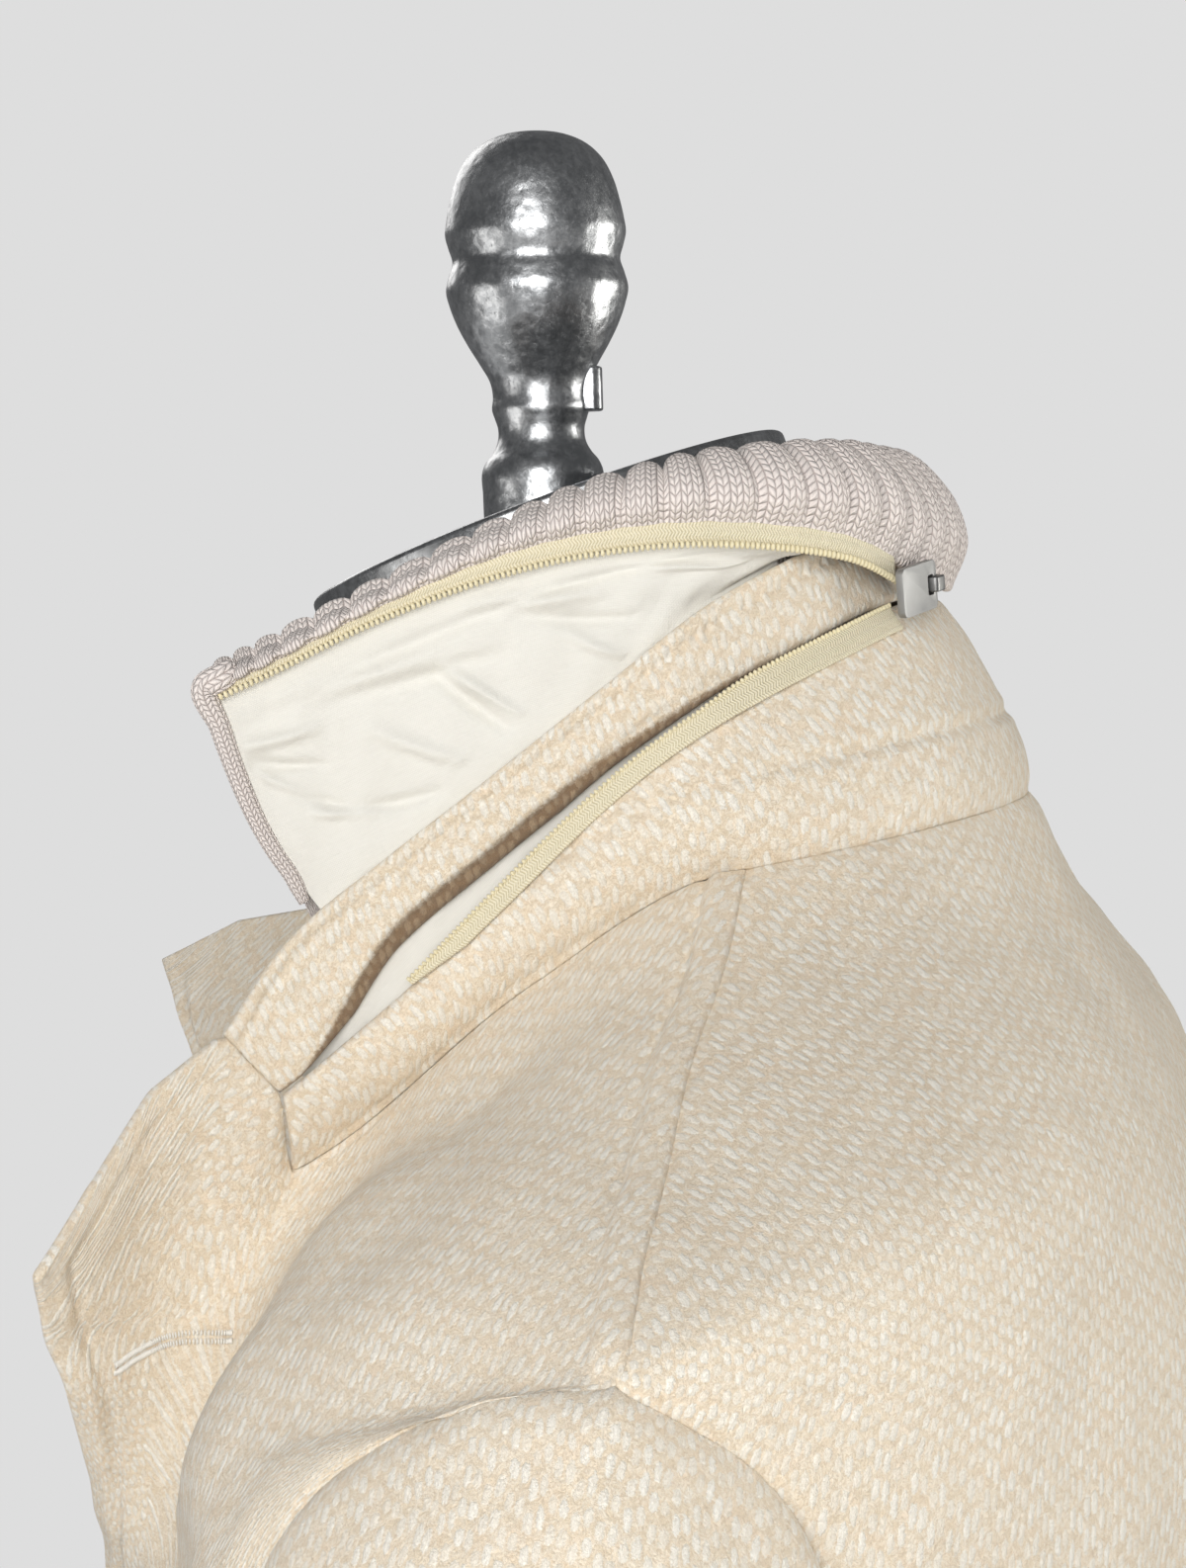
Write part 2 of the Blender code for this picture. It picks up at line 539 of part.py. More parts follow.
def trim(grid, first_row=0.0, last_row=0.0, first_col=0.0, last_col=0.0):
    """Draw the edges of a grid in by these distances, along the cloth."""
    grid = grid.copy()
    if first_row:
        grid[0] += unit(grid[1] - grid[0]) * first_row
    if last_row:
        grid[-1] += unit(grid[-2] - grid[-1]) * last_row
    if first_col:
        grid[:, 0] += unit(grid[:, 1] - grid[:, 0]) * first_col
    if last_col:
        grid[:, -1] += unit(grid[:, -2] - grid[:, -1]) * last_col
    return grid


def wall(name, outer, inner, finish, wrap=False):
    """A closed wall between two grids of points, laid out as rows of columns."""
    rows, columns = outer.shape[:2]
    spans = columns if wrap else columns - 1
    bm = bmesh.new()
    bmesh.ops.create_grid(bm, x_segments=spans, y_segments=rows - 1, size=0.5)
    tag_row = bm.verts.layers.int.new("row")
    tag_column = bm.verts.layers.int.new("column")
    for vert in bm.verts:
        vert[tag_row] = round((vert.co.y + 0.5) * (rows - 1))
        vert[tag_column] = round((vert.co.x + 0.5) * spans)
        if wrap:
            angle = 2 * math.pi * vert[tag_column] / spans
            vert.co = (math.cos(angle), math.sin(angle), vert.co.y)
            vert[tag_column] %= spans
    if wrap:
        bmesh.ops.remove_doubles(bm, verts=bm.verts[:], dist=0.001)
    first = set(bm.verts)
    bmesh.ops.extrude_face_region(bm, geom=bm.faces[:], use_keep_orig=True)
    outer_world, inner_world = world(outer), world(inner)
    for vert in bm.verts:
        source = outer_world if vert in first else inner_world
        vert.co = Vector(source[vert[tag_row], vert[tag_column]])
    bmesh.ops.triangulate(bm, faces=bm.faces[:], quad_method="SHORT_EDGE")
    return finish_mesh(bm, name, finish)


def turned(name, profile, finish, sides, place=Matrix.Identity(4), sharp=35):
    """A solid of revolution about +Z from (height, radius) pairs, which start or end on the axis."""
    bm = bmesh.new()
    points = [Vector((radius / 1000, 0, height / 1000)) for height, radius in profile]
    if profile[0][1] > 0:
        points.insert(0, Vector((0, 0, profile[0][0] / 1000)))
    if profile[-1][1] > 0:
        points.append(Vector((0, 0, profile[-1][0] / 1000)))
    verts = [bm.verts.new(point) for point in points]
    edges = [bm.edges.new(pair) for pair in zip(verts, verts[1:])]
    bmesh.ops.spin(bm, geom=verts + edges, cent=(0, 0, 0), axis=(0, 0, 1), angle=2 * math.pi,
                   steps=sides, use_merge=True)
    bmesh.ops.remove_doubles(bm, verts=bm.verts[:], dist=0.00002)
    bmesh.ops.transform(bm, matrix=place, verts=bm.verts[:])
    return finish_mesh(bm, name, finish, sharp)


def at_point(point, turn=Matrix.Identity(4)):
    return Matrix.Translation(Vector(world(point))) @ turn


# --------------------------------------------------------------------------------------- pieces
ARM_STEPS = 2                                    # steps between rows down the armhole
LAST_ROW = len(BACK_ROWS) - 1
DOWN = np.concatenate([down_steps(0, UNDER_ROW, ARM_STEPS), down_steps(UNDER_ROW, LAST_ROW, 3)[1:]])
SLEEVE_DOWN = np.array([0, 25, 60, 100] + [row[1] for row in SLEEVE], float)
BACK_ACROSS = np.linspace(-1, 1, 15)
FRONT_ACROSS = np.concatenate([np.linspace(0, TOP_PLACES[0], 8), TOP_PLACES[1:]])
NECK_COLUMNS = FRONT_ACROSS[:8]                  # front columns along the neck seam


def mirror(grid):
    """A left-hand grid for the right-hand side, its columns reversed so that it still faces out."""
    return grid[:, ::-1] * np.array([-1, 1, 1])


def collar_places():
    """Columns of the collar, on the same points as the top rows of the back and the fronts."""
    side = 3 / (len(COLLAR) - 1)
    back = BACK_ACROSS[BACK_ACROSS >= 0] * side
    front = side + NECK_COLUMNS[1:] / TOP_PLACES[0] * (1 - side)
    half = np.concatenate([back, front])
    return np.concatenate([-half[:0:-1], half])


def make_body():
    """Back, fronts, sleeves and under-collar share seam points and normals, parted by the gap."""
    back = back_grid(BACK_ACROSS, DOWN)
    left = front_grid(LEFT_ROWS, FRONT_ACROSS, DOWN)
    right = mirror(front_grid(RIGHT_ROWS, FRONT_ACROSS, DOWN))
    sleeve_left = sleeve_grid(LEFT_ROWS, ARM_STEPS, SLEEVE_DOWN)
    sleeve_right = mirror(sleeve_grid(RIGHT_ROWS, ARM_STEPS, SLEEVE_DOWN))
    join_side(left[:, 0], back[:, -1])
    join_side(right[:, -1], back[:, 0])
    collar = under_collar(collar_places(), np.linspace(0, 1, 4))
    half = GAP / 2
    ends = dict(first_row=half, first_col=half, last_col=half)
    pieces = (
        ("back", "body", back, -facing(back), ends),
        ("front_left", "body", left, -facing(left), dict(first_row=half, first_col=half)),
        ("front_right", "body", right, -facing(right), dict(first_row=half, last_col=half)),
        ("sleeve_left", "sleeve", sleeve_left, -facing(sleeve_left, True), dict(first_row=half)),
        ("sleeve_right", "sleeve", sleeve_right, -facing(sleeve_right, True), dict(first_row=half)),
        ("under_collar", "collar", collar, facing(collar), ends),
    )
    faces = merge_normals([piece[1:4] for piece in pieces])
    for (name, _, grid, _, edge), face in zip(pieces, faces):
        wall(name, trim(grid, **edge), trim(grid - face * WOOL, **edge), wool(),
             wrap=name.startswith("sleeve"))


def join_side(front, back):
    """Give a front and the back one shared line along the shoulder seam and the side seam."""
    marks = levels()
    sewn = (DOWN <= marks[TIP_ROW]) | (DOWN >= marks[UNDER_ROW])
    shared = 0.5 * (front[sewn] + back[sewn])
    front[sewn] = shared
    back[sewn] = shared


def make_leaf():
    grid = collar_leaf(collar_places(), np.linspace(0, 1, 3))
    edges = dict(first_col=GAP, last_col=GAP)
    wall("collar_leaf", trim(grid, **edges), trim(grid - facing(grid) * WOOL, **edges), wool())


def make_facing():
    """White facing inside the open slit."""
    at = np.linspace(0.36, 0.955, 12)
    slit, edge = along(COLLAR, 4, at), along(COLLAR, 8, at)
    up = unit(edge - slit)
    reach = slit_gape(at)
    inside = plan_normal(slit) * (WOOL + 1.1)
    heights = (0 * reach - 4, 0.5 * reach, reach + 4.5)
    rows = np.array([slit - inside + up * height[:, None] for height in heights])
    wall("slit_facing", rows, rows - plan_normal(slit) * LINING, cotton())


def make_cover():
    """Knit cover with its ribs, its white lining and the knit binding on its front end."""
    each = 3
    places = np.linspace(-0.955, 1.0, RIBS * each + 1)
    rows = np.array([0, 0.2, 0.36, 0.52, 0.72, 1.0])
    plain = cover_fold(places, rows)
    face = facing(plain)
    wave = rib_wave((np.arange(len(places)) % each) / each + 0.5) * RIB_RISE
    depth = np.minimum(1, 4 * rows)[:, None]
    outer = plain + face * (wave * depth)[:, :, None]
    wall("knit_cover", outer, plain - face * knit_depth(places)[None, :, None], knit())

    lining = lining_grid(np.linspace(0, 1, 17), LINING_ROWS)
    face = -facing(lining)
    wall("cover_lining", lining, lining - face * LINING, cotton())
    strip = lining_grid(np.array([0.94, 1.0]), BINDING_ROWS)
    face = -facing(strip)
    strip[:, 1] += unit(strip[:, 1] - strip[:, 0]) * BINDING_OVER
    wall("knit_binding", strip + face * (LAY + BINDING), strip + face * LAY, knit())


def lining_grid(share, table):
    """Cover's lining: share runs from the slider to the slanting front edge, rows go downwards."""
    rows = []
    for down, front_end in table:
        at = LINING_FROM + share * (front_end - LINING_FROM)
        teeth = cover_tables(at)[0]
        edge = along(COLLAR, 8, at)
        inside = edge - plan_normal(edge) * (WOOL + 1.2)
        top = teeth - plan_normal(teeth) * 1.4
        line = top + (inside - top) * min(down, 1)
        line[:, 2] -= max(down - 1, 0) * 10
        rows.append(line)
    return np.array(rows)


def make_tapes():
    """The two zip tapes, with their teeth, from the slider to the front."""
    at = np.linspace(TAPE_FROM, 0.985, 18)
    teeth, rise, _, _, _ = cover_tables(at)
    out = plan_normal(teeth)
    up = np.array([0, 0, 1.0])
    rows = np.array([teeth - up * 1.3, teeth + up * (rise - 0.45)[:, None]]) + out * TAPE_THICK / 2
    wall("zip_tape_cover", rows, rows - out * TAPE_THICK, tape())

    at = np.linspace(TAPE_FROM, 0.86, 20)
    deep = np.linalg.norm(along(COLLAR, 4, at) - neck_line(at), axis=-1)[:, None]
    wide = TAPE_WIDE * np.interp(at, (TAPE_FROM, 0.3, 0.5), (1.0, 0.9, 0.6))[:, None]
    rows = under_collar(at, [1 - wide / deep, 1 - 0.5 * wide / deep, 1 + 0.8 / deep])
    out = plan_normal(rows[-1])
    wall("zip_tape_collar", rows + out * (LAY + TAPE_THICK), rows + out * LAY, tape())


def zip_frame():
    """Middle of the slider on the cloth, the way along the zip, out of the cloth and across it."""
    at = SLIDER_AT + np.array([-0.02, 0, 0.02])
    slit = along(COLLAR, 4, at)
    along_zip = unit(slit[2] - slit[0])
    out = plan_normal(slit)[1]
    across = unit(np.cross(along_zip, out))
    across *= np.sign(across[2])
    middle = slit[1] + out * SLIDER_OFF + np.array([0, 0, SLIDER_UP])
    return middle, along_zip, unit(np.cross(across, along_zip)), across


def zip_matrix(back, rise):
    """Place with X along the zip, Y across it and Z out of the cloth."""
    middle, along_zip, out, across = zip_frame()
    point = world(middle - along_zip * back + out * rise)
    turn = Matrix(np.stack([along_zip, across, out], axis=1).tolist()).to_4x4()
    if turn.determinant() < 0:
        turn = Matrix(np.stack([along_zip, -across, out], axis=1).tolist()).to_4x4()
    return Matrix.Translation(Vector(point)) @ turn


def plate(name, outline, low, high, finish, place, bevel=0.0):
    """A flat piece: an outline in millimetres, extruded from low to high."""
    bm = bmesh.new()
    verts = [bm.verts.new((x / 1000, y / 1000, low / 1000)) for x, y in outline]
    face = bm.faces.new(verts)
    raised = bmesh.ops.extrude_face_region(bm, geom=[face], use_keep_orig=True)["geom"]
    lift = [part for part in raised if isinstance(part, bmesh.types.BMVert)]
    bmesh.ops.translate(bm, vec=(0, 0, (high - low) / 1000), verts=lift)
    bmesh.ops.recalc_face_normals(bm, faces=bm.faces[:])
    if bevel:
        bmesh.ops.bevel(bm, geom=bm.edges[:], offset=bevel / 1000, segments=1, profile=0.5,
                        affect="EDGES", material=-1)
    piece = finish_mesh(bm, name, finish, 30)
    piece.matrix_world = place
    return piece


def make_slider():
    half_long, half_wide = SLIDER_LONG / 2, SLIDER_WIDE / 2
    body = [(half_long, half_wide), (half_long * 0.2, half_wide), (-half_long, half_wide * 0.6),
            (-half_long, -half_wide * 0.6), (half_long * 0.2, -half_wide), (half_long, -half_wide)]
    slider = plate("zip_slider", body, LAY, LAY + SLIDER_THICK, chrome(), zip_matrix(0, 0), 0.5)
    upright = Matrix.Rotation(math.pi / 2, 4, "X")
    arch = plate("zip_arch", ARCH, -ARCH_WIDE / 2, ARCH_WIDE / 2, chrome(),
                 zip_matrix(HINGE_BACK, 0) @ upright)
    combine(slider, arch, "UNION")

    wide, corner = TAB_WIDE / 2, 1.6
    tab = [(TAB_LONG, -wide + corner), (TAB_LONG, wide - corner), (TAB_LONG - corner, wide),
           (corner, wide), (-BAR / 2, wide - corner), (-BAR / 2, -wide + corner),
           (corner, -wide), (TAB_LONG - corner, -wide)]
    hinge = zip_matrix(HINGE_BACK, HINGE_RISE)
    pull = plate("zip_pull", tab, -BAR / 2, BAR / 2, chrome(), hinge, 0.35)
    window = plate("zip_window", WINDOW, -BAR, BAR, chrome(), hinge)
    combine(pull, window, "DIFFERENCE")


def combine(piece, tool, operation):
    """Join or cut a piece with a hidden tool."""
    tool.hide_render = True
    tool.display_type = "WIRE"
    step = piece.modifiers.new(tool.name, "BOOLEAN")
    step.operation = operation
    step.solver = "EXACT"
    step.object = tool


def make_buttons():
    """Buttons stand on points of the left front's own grid."""
    grid = front_grid(LEFT_ROWS, FRONT_ACROSS, DOWN)
    face = -facing(grid)
    for k, (across, down) in enumerate(BUTTONS, 1):
        row = np.abs(DOWN - down).argmin()
        column = np.abs(FRONT_ACROSS - across).argmin()
        out = face[row, column]
        turn = Vector(out).to_track_quat("Z", "Y").to_matrix().to_4x4()
        place = Matrix.Translation(Vector(world(grid[row, column] + out * LAY))) @ turn
        turned(f"button_{k}", BUTTON, horn(), 14, place)


def make_pockets():
    """Pocket welts are made from the fronts' own points, moved out."""
    rows = (DOWN >= POCKET_DOWN[0]) & (DOWN <= POCKET_DOWN[1])
    columns = (FRONT_ACROSS >= POCKET_ACROSS[0]) & (FRONT_ACROSS <= POCKET_ACROSS[1])
    for name, table in (("pocket_left", LEFT_ROWS), ("pocket_right", RIGHT_ROWS)):
        grid = front_grid(table, FRONT_ACROSS, DOWN)
        face = -facing(grid)
        grid, face = grid[rows][:, columns], face[rows][:, columns]
        low, high = grid + face * LAY, grid + face * (LAY + WELT_THICK)
        if name == "pocket_right":
            low, high = mirror(low), mirror(high)
        wall(name, high, low, wool())


def make_form():
    steps = 6
    bm = bmesh.new()
    loops = []
    top = plate_ring(PLATE_RADIUS - 2, PLATE_THICK + GAP, steps)
    for ring in [top] + [form_ring(row, steps) for row in FORM_ROWS]:
        verts = [bm.verts.new(Vector(point)) for point in world(ring)]
        loops.append([bm.edges.new((verts[k - 1], verts[k])) for k in range(len(verts))])
    for upper, lower in zip(loops, loops[1:]):
        bmesh.ops.bridge_loops(bm, edges=upper + lower)
    for loop in (loops[0], loops[-1]):
        bmesh.ops.contextual_create(bm, geom=loop)
    finish_mesh(bm, "form_torso", linen())


def make_stand():
    tilt = Matrix.Rotation(PLATE_TILT, 4, "X")
    turned("neck_plate", ((-PLATE_THICK, 0), (-PLATE_THICK, PLATE_RADIUS - 1.2),
                          (-PLATE_THICK + 1.2, PLATE_RADIUS), (-1.2, PLATE_RADIUS),
                          (0, PLATE_RADIUS - 1.2), (0, 0)), cast_metal(), 48,
           at_point(PLATE_AT, tilt))
    axis = np.add(PLATE_AT, (0, FINIAL_SHIFT, 0))
    finial = turned("finial", FINIAL, cast_metal(), 22, at_point(axis))
    above = tilt @ Vector((0, 0, GAP / 1000))
    bm = bmesh.new()
    bm.from_mesh(finial.data)
    cut = bmesh.ops.bisect_plane(bm, geom=bm.verts[:] + bm.edges[:] + bm.faces[:], dist=1e-7,
                                 plane_co=Vector(world(PLATE_AT)) + above, plane_no=above,
                                 clear_inner=True)["geom_cut"]
    rim = [part for part in cut if isinstance(part, bmesh.types.BMEdge)]
    bmesh.ops.contextual_create(bm, geom=rim)
    bmesh.ops.recalc_face_normals(bm, faces=bm.faces[:])
    bm.to_mesh(finial.data)
    bm.free()
    key = [(3, LUG_OUT - 1.5), (1.5, LUG_OUT), (-1.5, LUG_OUT), (-3, LUG_OUT - 1.5),
           (-3, LUG_IN), (3, LUG_IN)]
    lug = plate("finial_key", key, LUG_LOW, LUG_HIGH, cast_metal(), at_point(axis), 0.8)
    combine(finial, lug, "UNION")
    top = NECK_HEIGHT + FORM_ROWS[-1][3] - GAP
    turned("pole", ((BASE_THICK + GAP, POLE_FOOT), (BASE_THICK + 10, POLE_FOOT),
                    (BASE_THICK + 26, POLE_RADIUS), (top, POLE_RADIUS)), cast_metal(), 24)
    turned("base", ((0, BASE_RADIUS), (BASE_THICK - 4, BASE_RADIUS), (BASE_THICK - 1, BASE_RADIUS - 3),
                    (BASE_THICK, BASE_RADIUS - 7)), cast_metal(), 64)


def main():
    clear_scene()
    make_stand()
    make_form()
    make_body()
    make_leaf()
    make_facing()
    make_cover()
    make_tapes()
    make_slider()
    make_buttons()
    make_pockets()


if __name__ == "__main__":
    main()
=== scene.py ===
"""Peacoat on its dress form, dressed: every cloth piece is cut again at its real fineness over the
frame's solids, with its edges turned, its seams rolled in, its sewing, ribs, zip coils and folds.

World frame in metres: +Z up, the coat faces -Y, the wearer's left side is +X. The tables are in
millimetres from the neck point, as the solids' own are.
"""

import math

import bmesh
import bpy
import numpy as np
from mathutils import Matrix, Vector

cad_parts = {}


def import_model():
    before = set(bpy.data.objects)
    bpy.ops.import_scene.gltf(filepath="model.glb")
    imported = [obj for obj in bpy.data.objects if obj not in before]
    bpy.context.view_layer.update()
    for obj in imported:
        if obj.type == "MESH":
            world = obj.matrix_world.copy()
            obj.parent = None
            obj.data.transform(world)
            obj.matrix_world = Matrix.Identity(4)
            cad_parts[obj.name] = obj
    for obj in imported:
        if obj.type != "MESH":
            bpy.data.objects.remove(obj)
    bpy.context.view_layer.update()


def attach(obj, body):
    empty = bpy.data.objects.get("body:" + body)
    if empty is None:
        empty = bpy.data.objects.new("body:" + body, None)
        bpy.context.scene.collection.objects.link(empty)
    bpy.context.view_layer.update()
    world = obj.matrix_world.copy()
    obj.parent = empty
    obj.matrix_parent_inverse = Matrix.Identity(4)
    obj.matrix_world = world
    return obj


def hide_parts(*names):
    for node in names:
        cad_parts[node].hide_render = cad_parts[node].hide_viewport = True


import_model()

# ---------------------------------------------------------------------------- driving dimensions
NECK_HEIGHT = 1130.0          # neck point above the floor
WOOL = 3.0                    # double-faced wool cloth
LINING = 0.9                  # cotton lining of the cover and of the slit
KNIT = 3.0                    # knit between its ribs
GAP = 0.3                     # between two pieces that are sewn or lie together
LAY = 0.4                     # between a panel and what lies on it

# Rows of the coat, from the neck seam to the hem. cloth is how far down the cloth the row lies.
# side is where the row meets the shoulder seam, the armhole (its back edge) or the side seam,
# back the centre back, and lean the angle at which the row passes the side, outwards from straight
# ahead. full says how square the row is.
BACK_ROWS = (
    # name,    cloth, side x,   y,     z,  back y,   z,  lean, full
    ("neck",       0,    81,   13,     0,     73,  10.5,    0, 1.66),
    ("yoke_1",    26,   104,   12,   -17,     81,    -7,    0, 1.72),
    ("yoke_2",    56,   133,    9,   -33,     92,   -24,    0, 1.78),
    ("yoke_3",    90,   166,    8,   -48,    103,   -41,    2, 1.82),
    ("yoke_4",   122,   200,    8,   -63,    112,   -60,    8, 1.82),
    ("tip",      154,   230,    8,   -79,    119,   -85,   30, 1.80),
    ("cap",      171,   225,   20,   -87,    123,  -101,   33, 1.78),
    ("arm_1",    190,   216,   33,   -99,    126,  -118,   36, 1.76),
    ("arm_2",    228,   208,   47,  -138,    131,  -153,   40, 1.74),
    ("arm_3",    268,   199,   48,  -181,    133,  -190,   34, 1.76),
    ("arm_4",    304,   192,   34,  -217,    133,  -222,   18, 1.80),
    ("under",    336,   187,    6,  -237,    132,  -246,    0, 1.84),
    ("chest",    392,   184,    4,  -292,    128,  -298,    0, 1.84),
    ("waist",    516,   175,    4,  -415,    117,  -418,    0, 1.84),
    ("hip",      664,   187,    4,  -562,    126,  -562,    0, 1.84),
    ("hem",      844,   200,    4,  -742,    137,  -742,    0, 1.84),
)
# The same rows across a front: side is the armhole's front edge where that differs, chest the
# place where the row rounds the front of the shoulder, inner the roll of the lapel or the centre
# front, and edge the front edge of the panel.
LEFT_ROWS = (
    # side x, y, z,      chest x, y, z,      inner x, y, z,      edge x, y, z
    ((81, 13, 0), (81.5, -36, -25.5), (80, -93, -69), (124, -139, -85)),
    ((104, 12, -17), (103, -46, -47), (87, -99, -85), (121, -140, -93)),
    ((133, 9, -33), (126, -60, -62), (93, -105, -99), (116, -141, -101)),
    ((166, 8, -48), (147, -71, -78), (97, -110, -114), (109, -140, -111)),
    ((200, 8, -63), (164, -80, -92), (98, -115, -131), (100, -141, -122)),
    ((230, 8, -79), (176, -84, -107), (96, -119, -149), (89, -143, -137)),
    ((225, -17, -83), (180, -84, -114), (93.5, -121.5, -159), (80, -145, -147)),
    ((216, -45, -97), (183, -85, -123), (90, -124, -170), (70, -147, -157)),
    ((208, -69, -138), (184, -92, -151), (80, -129, -196), (44, -153, -183)),
    ((200, -69, -182), (177, -98, -190), (66, -134, -224), (10, -154, -214)),
    ((192, -50, -217), (171, -103, -226), (52, -138, -250), (-36, -150, -243)),
    ((187, 6, -237), (168, -98, -252), (42, -141, -272), (-84, -142, -270)),
    ((184, 4, -292), (164, -98, -302), (38, -142, -310), (-90, -141, -306)),
    ((175, 4, -415), (150, -94, -418), (34, -135, -420), (-90, -134, -418)),
    ((187, 4, -562), (158, -99, -562), (36, -141, -562), (-90, -140, -562)),
    ((200, 4, -742), (168, -106, -742), (40, -150, -742), (-90, -149, -742)),
)
# The right front, mirrored to the same side: its side and chest are the left one's, it stands up
# further at the lapel, and from the chest down it lies under the left one.
RIGHT_ENDS = (
    # inner x, y, z,      edge x, y, z
    ((80, -93, -69), (121, -188, -42)),
    ((87, -99, -85), (121, -185, -54)),
    ((93, -106, -98), (119, -180, -68)),
    ((97, -111, -112), (115, -174, -85)),
    ((98, -116, -128), (107, -168, -104)),
    ((96, -119, -146), (94, -163, -127)),
    ((93, -120.5, -157), (84, -160.5, -139)),
    ((90, -122, -168), (72, -158, -152)),
    ((78, -124, -195), (44, -152, -180)),
    ((62, -127, -224), (8, -144, -212)),
    ((48, -129, -250), (-32, -133, -244)),
    ((38, -132, -272), (-74, -125, -270)),
    ((34, -133, -310), (-78, -125, -306)),
    ((30, -126, -420), (-78, -118, -418)),
    ((32, -132, -562), (-78, -124, -562)),
    ((36, -141, -742), (-78, -132, -742)),
)
RIGHT_ROWS = tuple(left[:2] + ends for left, ends in zip(LEFT_ROWS, RIGHT_ENDS))
TIP_ROW, UNDER_ROW = 5, 11    # the armhole runs between these two rows
FRONT_LEAN = {"yoke_4": -10, "tip": -28}         # the front passes the seam's end leaning inwards
FRONT_PLACES = (0, 0.34, 0.7, 1)                 # places across of side, chest, inner and edge
SIDE_PULL, ARM_PULL = 2.9, 3.0                   # how far a front carries on ahead from its side

# The top of each front from the end of the neck seam: the gorge seam climbs to the notch, and the
# lapel's free edge runs on to its tip.
GORGE = ((80, -93, -69), (88, -93, -50), (95, -104, -35))
LEFT_TOP = GORGE + ((104, -117, -46), (114, -129, -66), (124, -139, -85))
RIGHT_TOP = GORGE + ((97, -128, -24), (109, -160, -29.5), (121, -188, -42))
TOP_PLACES = (0.70, 0.76, 0.82, 0.88, 0.94, 1.00)

# The collar at nine stations from the centre back to the front end. seam is the neck seam, slit
# the top of the under-collar, gape how far the slit stands open above it on the left, and edge
# the collar's edge.
COLLAR = (
    # name,     seam x,  y,    z,   slit x,   y,    z, gape,  edge x,    y,    z
    ("back",      0.0,  73,  10.5,     0.0,  51,  58.5,  0.6,    0.0,   40,  78.0),
    ("back_2",   38.0,  65,   9.5,    36.0,  45,  58.0,  0.6,   34.0,   36,  77.0),
    ("back_3",   65.0,  43,   6.5,    62.0,  31,  50.0,  1.5,   60.0,   27,  70.5),
    ("side",     81.0,  13,   0.0,    81.0,   8,  36.5,  3.0,   80.5,    5,  57.5),
    ("side_2",   83.0, -14,  -9.5,    85.0, -16,  19.0,  6.0,   86.0,  -18,  40.0),
    ("front_1",  82.0, -40, -29.5,    86.5, -42,  -5.0, 11.0,   88.0,  -42,  22.0),
    ("front_2",  82.0, -65, -51.0,    87.0, -63, -25.0, 13.0,   89.0,  -68,   3.0),
    ("front_3",  81.0, -84, -66.5,    87.5, -84, -43.0,  8.0,   92.0,  -89, -14.0),
    ("front",    80.0, -93, -69.0,    88.0, -93, -50.0,  0.6,   95.0, -104, -35.0),
)
# The knit cover at the same stations, open on the left and shut on the right. zip is the line of
# its zip teeth, tape the tape that shows above them, crest the height of its fold, wide the fold's
# width, and foot where its inner side ends, on the neck side of the collar.
COVER_OPEN = (
    # name,     zip x,    y,    z, tape, crest, wide,  foot x,  y,    z
    ("back",      0.0, 54.4, 60.0,  0.8,  94.0, 26.0,    0.0,   30,  44.0),
    ("back_2",   37.0, 48.2, 61.0,  4.6,  95.0, 24.0,   29.0,   27,  44.0),
    ("back_3",   62.0, 34.5, 69.0,  4.4,  95.5, 20.0,   51.0,   18,  42.0),
    ("side",     82.0,  8.0, 72.5,  4.2,  93.0, 16.0,   69.0,    2,  34.0),
    ("side_2",   87.0, -18,  71.0,  4.0,  87.0, 14.0,   74.0,  -18,  20.0),
    ("front_1",  89.0, -42,  66.0,  3.4,  77.0, 12.5,   76.0,  -38,   2.0),
    ("front_2",  90.5, -68,  57.0,  2.0,  64.5, 11.5,   76.5,  -57, -13.0),
    ("front_3",  93.0, -90,  47.0,  1.4,  53.5, 11.0,   77.0,  -72, -22.0),
    ("front",    95.0, -104, 41.0,  1.2,  47.0, 11.0,   77.5,  -81, -27.0),
)
COVER_SHUT = (
    ("back",      0.0, 54.4, 60.0,  0.8,  94.0, 26.0,    0.0,   30,  44.0),
    ("back_2",   38.0, 48.6, 59.6,  0.8,  93.0, 24.0,   29.0,   27,  42.0),
    ("back_3",   65.0, 33.5, 52.5,  0.8,  87.0, 20.0,   51.0,   18,  36.0),
    ("side",     86.0,  9.0, 38.5,  0.8,  75.0, 18.0,   69.0,    2,  24.0),
    ("side_2",   91.0, -16,  21.0,  0.8,  57.0, 17.5,   74.0,  -19,   8.0),
    ("front_1",  93.0, -42,  -3.0,  0.8,  39.0, 17.0,   76.0,  -42, -10.0),
    ("front_2",  94.5, -62, -22.5,  0.8,  20.0, 17.0,   76.0,  -63, -31.0),
    ("front_3",  96.5, -80, -38.5,  0.8,   4.0, 17.5,   76.5,  -79, -44.0),
    ("front",    98.5, -90, -46.5,  0.8,  -8.0, 18.0,   78.0,  -90, -52.0),
)
RIBS = 44                     # ribs round the whole cover
RIB_RISE = 1.5
FULL_RISE = 13.0              # the knit has its whole thickness where the fold stands this high
SWELL = 4.2                   # the under-collar rounds outwards by this much
# Rows of the cover's lining: how far down from the zip (0) to the collar's edge (1) and behind it,
# and the station where the row ends at the slanting front edge; then the binding's rows.
LINING_ROWS = ((0.04, 0.99), (0.33, 0.94), (0.66, 0.885), (1.0, 0.83), (2.0, 0.81))
BINDING_ROWS = ((0.09, 0.981), (0.33, 0.94), (0.66, 0.885), (0.88, 0.849))
LINING_FROM = 0.275           # station where the lining starts, in front of the slider

